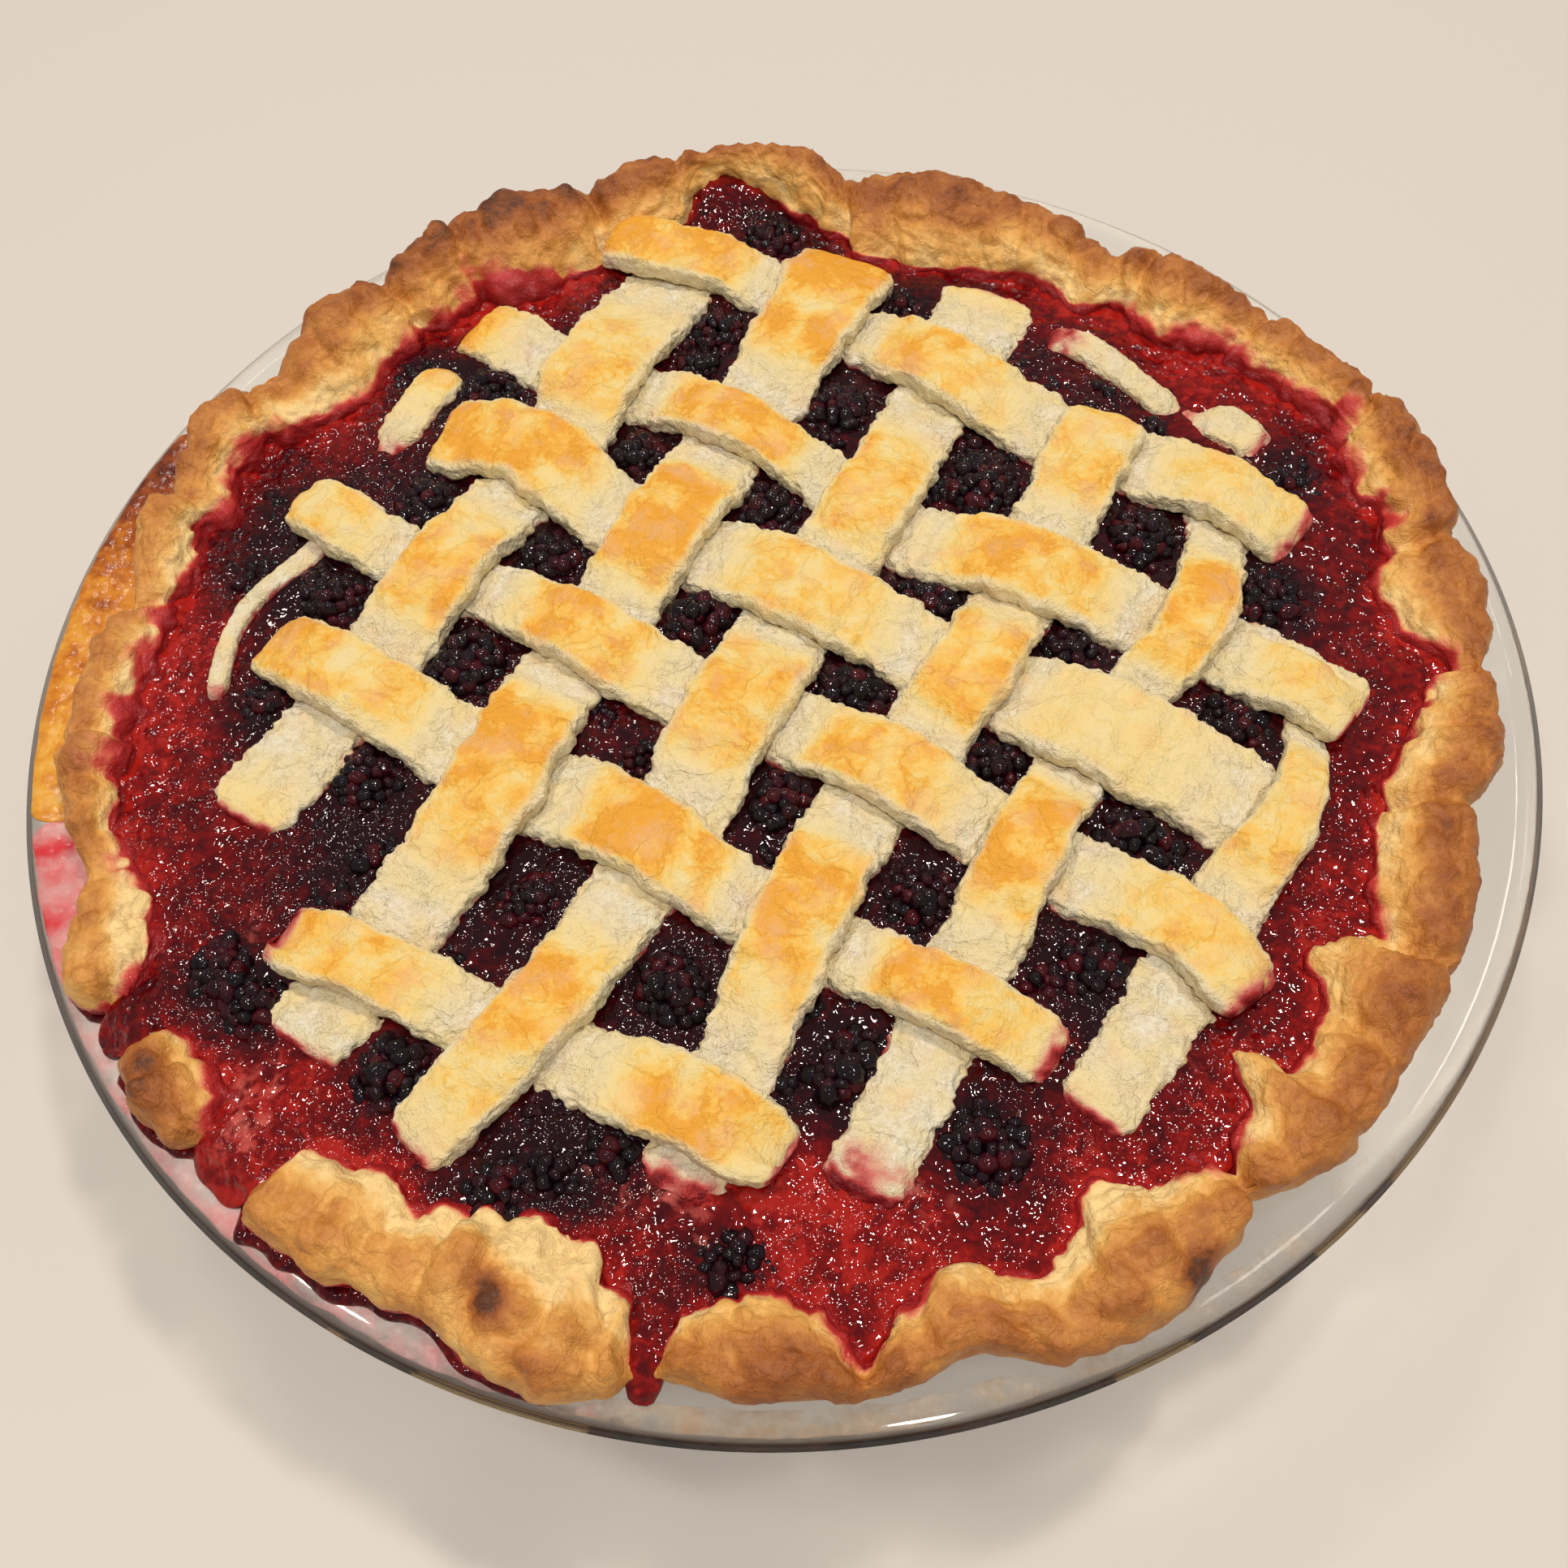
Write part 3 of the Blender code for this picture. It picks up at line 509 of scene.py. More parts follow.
def colour_ramp(tree, factor, stops):
    """A ramp through (position, colour) stops."""
    node = add_node(tree, "ShaderNodeValToRGB", {"Fac": factor})
    elements = node.color_ramp.elements
    while len(elements) < len(stops):
        elements.new(0.5)
    for element, (position, colour) in zip(elements, stops):
        element.position, element.color = position, (*colour, 1)
    return node.outputs["Color"]


def blotched(tree, base, noise, strength, clamp=False):
    """base + strength x (noise - 0.5)."""
    return scaled(tree, math_node(tree, "SUBTRACT", noise, 0.5), strength, base, clamp)


def field_node(tree, name):
    return add_node(tree, "ShaderNodeAttribute", attribute_name=name).outputs["Fac"]


def cell_node(tree, scale, feature):
    """How far a point is from the cells' middles or edges, on the piece's own coordinates."""
    place = add_node(tree, "ShaderNodeTexCoord").outputs["Object"]
    return add_node(tree, "ShaderNodeTexVoronoi", {"Vector": place, "Scale": scale},
                    feature=feature).outputs["Distance"]


def make_pastry_group():
    """Baked dough's fine texture: mottling at two scales, wrinkles, and a height of crumbs and flakes."""
    group = bpy.data.node_groups.new("pastry_texture", "ShaderNodeTree")
    group.interface.new_socket("Flakiness", in_out="INPUT", socket_type="NodeSocketFloat")
    for name in ("Mottle", "Speckle", "Wrinkle", "Height"):
        group.interface.new_socket(name, in_out="OUTPUT", socket_type="NodeSocketFloat")
    source = add_node(group, "NodeGroupInput")
    sink = add_node(group, "NodeGroupOutput")
    mottle = noise_node(group, 170.0, 4.0, 0.6)
    speckle = noise_node(group, 900.0, 3.0, 0.65)
    crumb = noise_node(group, 1500.0, 3.0, 0.7)
    flakes = cell_node(group, 420.0, "DISTANCE_TO_EDGE")
    cracks = scaled(group, math_node(group, "MINIMUM", flakes, 0.12), 3.0)
    # A wrinkle runs where distorted noise crosses its middle value. It is a groove in the height, and the
    # materials darken the colour along it as painted shade.
    lines = noise_node(group, 150.0, 5.0, 0.6, distortion=0.4)
    off_line = math_node(group, "ABSOLUTE", math_node(group, "SUBTRACT", lines, 0.5))
    wrinkle = scaled(group, off_line, -26.0, 1.0, clamp=True)
    height = scaled(group, cracks, source.outputs["Flakiness"], crumb)
    height = scaled(group, speckle, 0.8, height)
    height = scaled(group, wrinkle, -0.35, height)
    for name, value in (("Mottle", mottle), ("Speckle", speckle), ("Wrinkle", wrinkle), ("Height", height)):
        group.links.new(value, sink.inputs[name])
    return group


pastry_texture = make_pastry_group()

crust_paint, tree, shader = new_material("browned_crust", {"Specular IOR Level": 0.32})
texture = add_node(tree, "ShaderNodeGroup", node_tree=pastry_texture)
texture.inputs["Flakiness"].default_value = 0.5
tone = blotched(tree, field_node(tree, "bake"), texture.outputs["Mottle"], 0.65)
tone = blotched(tree, tone, texture.outputs["Speckle"], 0.3)
dough = colour_ramp(tree, tone, (
    (0.0, (0.87, 0.62, 0.27)), (0.2, (0.78, 0.43, 0.115)), (0.42, (0.63, 0.27, 0.055)),
    (0.64, (0.45, 0.155, 0.030)), (0.84, (0.30, 0.082, 0.014)), (1.0, (0.10, 0.030, 0.010))))
soaking = field_node(tree, "soaked")
wine = colour_ramp(tree, soaking, (
    (0.0, (0.78, 0.34, 0.20)), (0.3, (0.66, 0.12, 0.075)), (0.65, (0.48, 0.028, 0.026)),
    (1.0, (0.26, 0.008, 0.010))))
mask = scaled(tree, soaking, 1.9, clamp=True)
# Painted shade in the fine wrinkle grooves: the crust is darkened towards dark brown along them
groove_shade_and_browning = scaled(tree, texture.outputs["Wrinkle"], 0.22)
dough = mix_colours(tree, groove_shade_and_browning, dough, (0.30, 0.085, 0.012, 1))
tree.links.new(mix_colours(tree, mask, dough, wine), shader.inputs["Base Color"])
dry = scaled(tree, texture.outputs["Speckle"], 0.25, 0.28)
gloss = scaled(tree, mask, -0.3, dry, clamp=True)
tree.links.new(gloss, shader.inputs["Roughness"])
add_relief(tree, shader, texture.outputs["Height"], 0.55, 0.0005)

crust_rim = add_surface("crimped_rim", rim_grid[::-1], crust_paint, loop_rows=True,
                        fields={"bake": bake[::-1], "soaked": soaked[::-1]})
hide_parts("pie_crust")

# The lining is pressed against the glass, so its outside lies a hair into the wall.
LINING_UNDER_Z, LINING_TOP_Z = 4.5, 8.6
LINING_PROFILE = (
    (0.0, LINING_UNDER_Z), (60.0, LINING_UNDER_Z), (80.0, 4.8), (84.2, 6.2), (86.7, 8.6), (88.2, 11.2),
    (96.2, 22.3),
    (104.6, 34.0), (104.9, 35.4), (103.8, 36.0), (101.6, 34.4), (93.5, 23.0), (85.0, 11.6),
    (80.0, 9.0), (60.0, LINING_TOP_Z), (0.0, LINING_TOP_Z),
)
lining = turned_grid(eased_path(LINING_PROFILE, 90)[1:-1], 360)
x, y, z = np.moveaxis(lining, -1, 0)
lining_bake = 0.34 + 0.3 * grain(x, y, z, 16.0, 22) + 0.2 * grain(x, y, z, 5.0, 23) + 0.006 * z
lining_piece = add_surface("crust_lining", lining, crust_paint,
                           caps=((0, (0, 0, LINING_UNDER_Z)), (-1, (0, 0, LINING_TOP_Z))),
                           fields={"bake": lining_bake, "soaked": 0 * x})
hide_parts("pie_crust")

# ---------------------------------------------------------------- juice
# Juice boiled down with berry pulp until it set. It fills the crust to its lip: crimson and clotted
# in the open ring by the crust, nearly black between the strips, and run over where the crust is low.

DOME = 0.9            # how much higher the juice stands in the middle
DOME_R = 98.0
BERRY_SHADE_R = 8.5   # how far a berry darkens the juice round it
# Juice runs over the crust's low places: angle, furthest reach, half-width in degrees
SPILLS = ((212.0, 120.5, 2.0), (226.0, 119.5, 3.4), (258.8, 119.5, 1.6))


def clotting(x, y):
    """0 where the juice lies in a glassy pool, 1 where it is thick with clots."""
    return rise_between(0.62 + 1.4 * flat_grain(x, y, 13.0, 37) + 0.7 * flat_grain(x, y, 5.0, 38))


def dome_z(r):
    """The level of the juice at a radius: DOME higher in the middle, and flat outside DOME_R."""
    return JUICE_Z + DOME * (1 - np.minimum(r / DOME_R, 1.0) ** 2)


def juice_height(x, y):
    """The juice's top: a low dome with clots and pulp, drawn up the pocket in the back crust."""
    r = np.hypot(x, y)
    theta = np.degrees(np.arctan2(y, x))
    ring = rise_between((r - 72) / 14)
    pocket = rise_between((r - 99) / 13) * np.exp(-(np.abs(theta - 92.5) / 5.5) ** 4)
    clots = 0.65 * (np.abs(flat_grain(x, y, 6.5, 31)) - 0.25) * (0.7 + 0.3 * ring)
    pulp = 0.65 * (np.abs(flat_grain(x, y, 3.0, 32)) - 0.25) + 0.4 * np.abs(flat_grain(x, y, 1.7, 33))
    return dome_z(r) + 0.1 - 0.8 * (1 - ring) + 4.2 * pocket + clots + pulp * (0.35 + 0.8 * clotting(x, y))


# The berries that show best
BERRIES = (
    (-60, 34), (-50, 61), (-8, 73), (5, 98), (28, 76), (13, 51), (-22, 43), (-37, 21), (0, 29), (38, 31),
    (64, 18), (83, 3), (-75, 15), (-83, -6), (-52, 0), (-12, 6), (28, 9), (50, -4), (12, -9), (33, -25),
    (0, -30), (72, -21), (54, -41), (-65, -21), (-64, -36), (-40, -45), (20, -48), (44, -61), (-18, -60),
    (7, -74), (25, -87), (-10, -101), (-34, -86), (-78, -60), (50, -72), (92, 30), (-26, -84), (-42, -89),
    (-84, -54), (-58.5, -71), (-84, 36), (-62, 66), (-88, 20),
)
JUICE_COLS = 900
JUICE_FLOOR_Z = 10.5
UNDER_LIP = 1.6       # how far the juice runs in under the crust's lip
angle = np.linspace(0, 360, JUICE_COLS, endpoint=False)
turn = np.radians(angle)
shore = around(angle, RIM, 2) + UNDER_LIP
spill = np.zeros_like(angle)
ragged = 1 + 0.35 * grain(60 * np.cos(turn), 60 * np.sin(turn), 0 * turn, 2.2, 30)
for spill_angle, spill_r, half in SPILLS:
    near = np.exp(-(np.abs(angle - spill_angle) / half) ** 4)
    reach = spill_r * (1 + 0.012 * (ragged - 1))
    shore = np.maximum(shore, shore + (reach - shore) * near)
    spill = np.maximum(spill, near)
share = np.concatenate([np.linspace(0.006, 0.70, 44, endpoint=False), np.linspace(0.70, 1.0, 62)])
r = share[:, None] * LEDGE_R + (shore - LEDGE_R) * share[:, None] ** 12
x, y = r * np.cos(turn), r * np.sin(turn)
top = juice_height(x, y)
top += 1.1 * spill * rise_between((r - 105.0) / 5.0) * (1 - rise_between((r - 115.0) / 3.0))
top -= 2.6 * spill * rise_between((r - 114.5) / 5.0)
bottom_z = np.minimum(top[-1] - 0.5, np.where(shore > 108, 38.15, 33.0))
skirt = np.stack([x[-1], y[-1], bottom_z], -1)
wall_ring = polar_points(96, turn, 24.0)
base_ring = polar_points(83, turn, JUICE_FLOOR_Z)
juice_grid = np.concatenate([np.stack([x, y, top], -1), [skirt, wall_ring, base_ring]])
thick = np.zeros(juice_grid.shape[:2])
thick[: len(top)] = 0.5 + 0.5 * flat_grain(x, y, 9.0, 35) + 0.3 * flat_grain(x, y, 3.0, 36)
# Crimson where the juice lies in the open ring, by angle
BRIGHT = np.array((
    (0, 0.35), (20, 0.4), (40, 0.4), (60, 0.35), (90, 0.2), (118, 0.5), (135, 0.3), (152, 0.36),
    (162, 0.25), (176, 0.48), (195, 0.35), (212, 0.3), (225, 0.5), (245, 0.25), (258, 0.4), (270, 0.42),
    (300, 0.35), (320, 0.33), (340, 0.3),
))
# Where dough under thin juice makes it glow red, and where crumbled dough clouds it: x, y, reach, glow, cloud
GLOWS = (
    (-52, 91, 7, 0.8, 0.3), (-45, 95, 6, 0.7, 0.8), (-57, 81, 7, 0.7, 0.0), (-38, 92, 5, 0.5, 0.7),
    (-69, 56, 5, 0.4, 0.3), (-75, 50, 5, 0.3, 0.4), (-66, 36, 5, 0.3, 0.5), (-97, 8, 6, 0.5, 0.4),
    (-99, -7, 7, 0.6, 0.2), (-100, -19, 5, 0.5, 0.3), (-79, -47, 5, 0.2, 0.7), (-85, -52, 8, 0.5, 0.0),
    (-80, -73, 6, 0.3, 0.9), (-79, -78, 5, 0.2, 0.8), (-66, -86, 6, 0.4, 0.5), (-71, -72, 5, 0.3, 0.6),
    (-24, -89, 6, 0.3, 0.7), (-15, -93, 6, 0.4, 0.8), (-4, -90, 7, 0.7, 0.3), (3, -95, 8, 0.9, 0.2),
    (-2, -101, 6, 0.5, 0.1), (17, -94, 4, 0.3, 1.0), (38, -88, 5, 0.5, 0.5), (57, -87, 6, 0.5, 0.2),
    (54, -76, 6, 0.4, 0.4), (75, -57, 5, 0.3, 0.5), (79, -61, 6, 0.4, 0.0), (54, 68, 5, 0.4, 0.3),
    (80, 52, 7, 0.5, 0.0), (89, 62, 5, 0.5, 0.8), (66, 72, 6, 0.5, 0.0), (102, 43, 6, 0.5, 0.6),
    (104, 26, 7, 0.6, 0.6), (104, -7, 6, 0.3, 0.1), (96, -30, 5, 0.3, 0.1), (42, -13, 4, 0.2, 0.0),
    (-20, 84, 5, 0.4, 0.3),
)
open_ring = rise_between((r - 80) / 14)
thin_edge = np.clip(1 - (shore - r) / 6.0, 0, 1) ** 2
bright = np.zeros_like(thick)
bright[: len(top)] = around(angle, BRIGHT, 1) * open_ring + 0.1 + 0.5 * thin_edge * (1 - 0.8 * spill)
for bx, by in BERRIES:
    bright[: len(top)] -= 0.5 * np.exp(-((x - bx) ** 2 + (y - by) ** 2) / BERRY_SHADE_R**2)
cloudy = np.zeros_like(thick)
drift = 2.5 * flat_grain(x, y, 5.0, 39)
glow_blots = 1 + 0.8 * flat_grain(x, y, 4.0, 41)
cloud_blots = 0.5 + 1.1 * flat_grain(x, y, 3.2, 40)
for gx, gy, reach, glow, cloud in GLOWS:
    near = np.exp(-((x - gx + drift) ** 2 + (y - gy - drift) ** 2) / reach**2)
    bright[: len(top)] += 0.36 * glow * near * glow_blots
    cloudy[: len(top)] += cloud * near * cloud_blots
clotted = np.zeros_like(thick)
clotted[: len(top)] = clotting(x, y)

wet_red, tree, shader = new_material("set_berry_juice", {"Roughness": 0.04, "IOR": 1.34})
clots = noise_node(tree, 420.0)
pulp = noise_node(tree, 520.0, 4.0, 0.65, distortion=0.6)
cells = cell_node(tree, 800.0, "SMOOTH_F1")
tone = scaled(tree, field_node(tree, "thick"), 0.34, field_node(tree, "bright"))
tone = blotched(tree, tone, pulp, 1.5)
wine = colour_ramp(tree, tone, (
    (0.0, (0.013, 0.001, 0.003)), (0.25, (0.035, 0.001, 0.003)), (0.5, (0.085, 0.0012, 0.0025)),
    (0.75, (0.18, 0.003, 0.003)), (1.0, (0.36, 0.012, 0.008))))
cloudiness = field_node(tree, "cloudy")
haze = blotched(tree, scaled(tree, cloudiness, 1.3, -0.45), pulp, 3.2, clamp=True)
haze = scaled(tree, haze, scaled(tree, cloudiness, 1.4, clamp=True))
haze = scaled(tree, haze, 0.7)
tree.links.new(mix_colours(tree, haze, wine, (0.56, 0.12, 0.10, 1)), shader.inputs["Base Color"])
bumpy = scaled(tree, field_node(tree, "clotted"), 0.6, 0.4)
height = scaled(tree, math_node(tree, "ADD", clots, cells), bumpy)
add_relief(tree, shader, height, 0.75, 0.0007)

juice = add_surface("berry_juice", juice_grid, wet_red,
                    caps=((0, (0, 0, float(top[0].mean()))), (-1, (0, 0, JUICE_FLOOR_Z))),
                    fields={"thick": thick, "bright": bright, "cloudy": cloudy, "clotted": clotted})
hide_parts("berry_filling")

# ---------------------------------------------------------------- lattice
# Hand-cut dough strips woven over and under one another: golden where egg wash browned their
# backs, pale on their sides, floury and cracked where they dive, with rough crumbly edges.

STRIP_T = 4.8
WEAVE_Z = 42.6
WEAVE_FALL = 0.8       # how much lower the crossings lie at WEAVE_R than in the middle
WEAVE_R = 95.0
MEETING_GAP = 0.8      # strips whose middle lines come closer than this cross
WEAVE_LIFT = 2.25      # how far a strip's middle lies from the crossing's height
END_Z = 40.7
STEP = 0.45            # spacing of points along a strip
CROSS = 88             # points round a strip
LANES = 15             # lanes across a strip whose heights are worked out
LOOK_ROUND = 80        # points on either side of a crossing that may lie under the other strip
ROUND_END = 3.4        # length over which a strip's end is rounded

# number: widths and egg wash from end to end, length stained by juice at both ends, points of its line
FALLING = {
    0: ((7.0, 6.5, 5.5, 8.5, 8.0), (0.0, 0.05), (10, 4),
        ((54.5, 66.5), (62.7, 60.2), (72, 48.2), (83, 41), (88.2, 35))),
    1: ((13.5, 13.2, 16.0, 14.0), (0.9, 0.8, 0.75, 0.4, 0.35, 0.3), (0, 3),
        ((-27, 97.5), (-17, 92), (-5, 88), (9.8, 77.5), (26, 63.5), (51.5, 42.4), (66, 33.6), (77, 26),
        (90, 14.5))),
    2: ((15.5, 13.2, 10.8, 15.5, 15.0, 15.3), (0.85, 0.55, 0.8, 0.4, 0.7, 0.3, 0.3), (0, 1),
        ((-53.4, 77.6), (-31.2, 62.4), (-14.5, 53), (6, 38), (25, 19.5), (40, 12), (71.8, -5.4),
        (91.3, -22))),
    3: ((17.5, 15.8, 16.0, 15.0, 18.3, 18.8), (0.75, 0.7, 0.2, 0.6, 0.4, 0.15, 0.15, 0.1), (1, 4),
        ((-58.6, 50), (-42.5, 44), (-27, 29), (-7, 16.5), (23, -3.5), (41.5, -15.7), (78, -41))),
    4: ((12.0, 12.0, 14.0, 13.8, 12.9, 11.8), (0.45, 0.3, 0.7, 0.3, 0.65, 0.4, 0.4, 0.5), (0, 3),
        ((-81.3, 34.6), (-65, 23.7), (-44, 11), (-17.7, -7.5), (3, -17.8), (28.7, -36), (55.7, -55.3),
        (65.8, -68.4))),
    5: ((12.8, 14.0, 16.0, 13.2, 11.5, 10.8), (0.7, 0.45, 0.3, 0.95, 0.5, 0.95, 0.2), (1, 4),
        ((-84.3, 6.3), (-50, -18), (-26.5, -32.7), (-8.2, -47.3), (8.3, -57.5), (20.3, -64.6),
        (37, -75.2))),
    6: ((11.4, 11.2, 11.6, 13.8, 11.8), (0.65, 0.6, 0.3, 0.4, 0.8, 0.3), (4, 1),
        ((-76.3, -48.7), (-59.5, -56.8), (-41.3, -66.6), (-18, -78), (-2.7, -88))),
}
RISING = {
    1: ((3.4, 3.6, 4.2, 5.0, 8.4, 8.6), (0.0, 0.0, 0.5, 0.7), (3, 0),
        ((-92, -5), (-91.2, 7), (-87.6, 15.5), (-81.8, 22), (-77.3, 27.5), (-75.2, 34.5), (-70, 44.5),
        (-64.2, 55), (-57.6, 66.5))),
    2: ((14.5, 15.5, 14.7, 18.3, 17.5), (0.5, 0.3, 0.7, 0.4, 0.55, 0.3, 0.1), (2, 0),
        ((-85, -28.4), (-64.5, 3), (-47.5, 30.5), (-34.5, 49.3), (-29.3, 62.7), (-12.5, 90.8))),
    3: ((15.0, 15.2, 15.4, 16.0, 17.4, 20.6), (0.0, 0.35, 0.95, 0.6, 1.0, 0.8, 1.0), (2, 0),
        ((-72, -66.9), (-47.3, -30.5), (-37, -9), (-27.3, 7), (-10, 37), (8.7, 69.2), (19.8, 88.8))),
    4: ((11.4, 13.0, 16.6, 15.8, 15.0, 18.8), (0.1, 0.8, 0.4, 0.7, 0.6, 0.5, 0.5), (2, 2),
        ((-55.2, -82.7), (-39.5, -67.4), (-23, -43.4), (-8.3, -16.8), (6, 9), (20.7, 31), (45, 78))),
    5: ((13.0, 13.4, 14.7, 14.0, 14.5, 15.0), (0.0, 0.4, 1.0, 0.6, 0.5, 0.5, 0.6), (6, 0),
        ((-18, -91.2), (1.4, -51.7), (11, -34.4), (31.8, -9), (56, 33), (61, 43))),
    6: ((11.6, 12.4, 12.9, 10.0, 11.6, 10.0), (0.0, 0.2, 0.8, 0.4, 0.7, 0.4), (10, 2),
        ((6.8, -93), (26, -59.5), (41.4, -33.6), (56.8, -15.1), (67.4, -4.8), (75.3, 12.5), (78, 27))),
    7: ((11.0, 12.9, 12.0, 8.0, 5.0), (0.3, 0.3, 0.4, 0.2), (2, 0),
        ((39.6, -84), (54.3, -66.5), (65.4, -51.5), (76, -40), (81.7, -28.2), (84.2, -13.5))),
}
# Where a strip drowns in the juice (depth above 0) or lies up on the crust: place, reach, depth
DROWNED = {
    ("falling", 0): ((76.8, 45.3, 3.2, 3.8), (55, 66, 4.0, 1.0), (89, 34.5, 3.0, 1.2)),
    ("falling", 1): ((-26, 97, 8.0, -2.6),),
    ("rising", 1): ((-73.2, 40.5, 6.0, 4.4), (-57, 67, 3.0, 1.2), (-69, 47, 4.0, 1.0)),
}


def lay_strip(spec):
    """A strip's middle line, its side direction, width, egg wash and stained ends, point by point."""
    widths, washes, stains, points = spec
    length = sum(math.dist(a, b) for a, b in zip(points, points[1:]))
    middle = eased_path(points, int(length / STEP))
    ahead = np.gradient(middle, axis=0)
    ahead /= np.linalg.norm(ahead, axis=1)[:, None]
    count = len(middle)
    along = np.arange(count) * STEP
    from_ends = np.maximum(1 - along / max(stains[0], 0.1), 1 - (along[-1] - along) / max(stains[1], 0.1))
    width, wash = (np.interp(along, np.linspace(0, along[-1], len(v)), v) for v in (widths, washes))
    return {
        "middle": middle, "side": np.stack([-ahead[:, 1], ahead[:, 0]], 1), "width": width, "wash": wash,
        "stain": np.clip(from_ends, 0, 1), "crossings": [], "sunk": np.zeros(count),
    }


falling = {i: lay_strip(spec) for i, spec in FALLING.items()}
rising = {j: lay_strip(spec) for j, spec in RISING.items()}
for (family, number), places in DROWNED.items():
    strip = {"falling": falling, "rising": rising}[family][number]
    for place_x, place_y, reach, depth in places:
        gap = np.hypot(*(strip["middle"] - (place_x, place_y)).T)
        strip["sunk"] += depth * np.exp(-((gap / reach) ** 2))
for i, fall in falling.items():
    for j, rise in rising.items():
        gaps = np.linalg.norm(rise["middle"][:, None] - fall["middle"][None], axis=2)
        at, other = np.unravel_index(gaps.argmin(), gaps.shape)
        if gaps[at, other] > MEETING_GAP:
            continue
        x, y = rise["middle"][at]
        height = WEAVE_Z - WEAVE_FALL * (x * x + y * y) / WEAVE_R**2
        over = 1 if (i + j) % 2 == 0 else -1
        rise["crossings"].append((at, fall, height, over))
        fall["crossings"].append((other, rise, height, -over))


def strip_heights(strip, across):
    """Height of the strip's middle layer over (points along, share across), and how far it is on top.

    Each lane across the strip is level over or under every crossing, and eased between them.
    """
    count = len(strip["middle"])
    crossings = sorted(strip["crossings"], key=lambda crossing: crossing[0])
    end_tops = 0.35 + 0.6 * np.clip(strip["wash"][[0, -1]], 0, 1)
    heights = np.zeros((count, len(across)))
    on_top = np.zeros_like(heights)
    for column, share in enumerate(across):
        lane = strip["middle"] + strip["side"] * (share * strip["width"] / 2)[:, None]
        knots, levels, tops = [-1.0], [END_Z], [end_tops[0]]
        for _, other, height, over in crossings:
            gap = np.linalg.norm(lane[:, None] - other["middle"][None], axis=2)
            near = gap.min(axis=1)
            reach = other["width"][gap.argmin(axis=1)] / 2
            at = int(near.argmin())
            first_near = max(0, at - LOOK_ROUND)
            looked = slice(first_near, at + LOOK_ROUND)
            inside = np.flatnonzero(near[looked] < reach[looked])
            if not len(inside):
                continue
            first, last = first_near + inside[0], first_near + inside[-1]
            lean = 0.06 * (last - first)
            crown = 0.35 if over > 0 else 0.0
            level = height + over * WEAVE_LIFT
            knots += [first + lean, (first + last) / 2, last - lean]
            levels += [level - crown, level + crown, level - crown]
            tops += [0.5 + 0.5 * over] * 3
        if knots[-1] > count - 15:
            knots.append(max(knots[-1] + 0.5, count))
            levels.append(levels[-1])
            tops.append(tops[-1])
        else:
            knots.append(count)
            levels.append(END_Z)
            tops.append(end_tops[1])
        if len(knots) > 2 and knots[1] < 15:
            levels[0], tops[0] = levels[1], tops[1]
        order = np.maximum.accumulate(np.array(knots) + np.arange(len(knots)) * 1e-3)
        heights[:, column] = np.interp(np.arange(count), order, levels) - strip["sunk"]
        on_top[:, column] = np.interp(np.arange(count), order, tops)
    soften = np.exp(-(np.arange(-10, 11) / 4.4) ** 2)
    soften /= soften.sum()
    for field in (heights, on_top):
        padded = np.pad(field, ((10, 10), (0, 0)), mode="edge")
        field[:] = sum(weight * padded[k: k + count] for k, weight in enumerate(soften))
    return heights, on_top


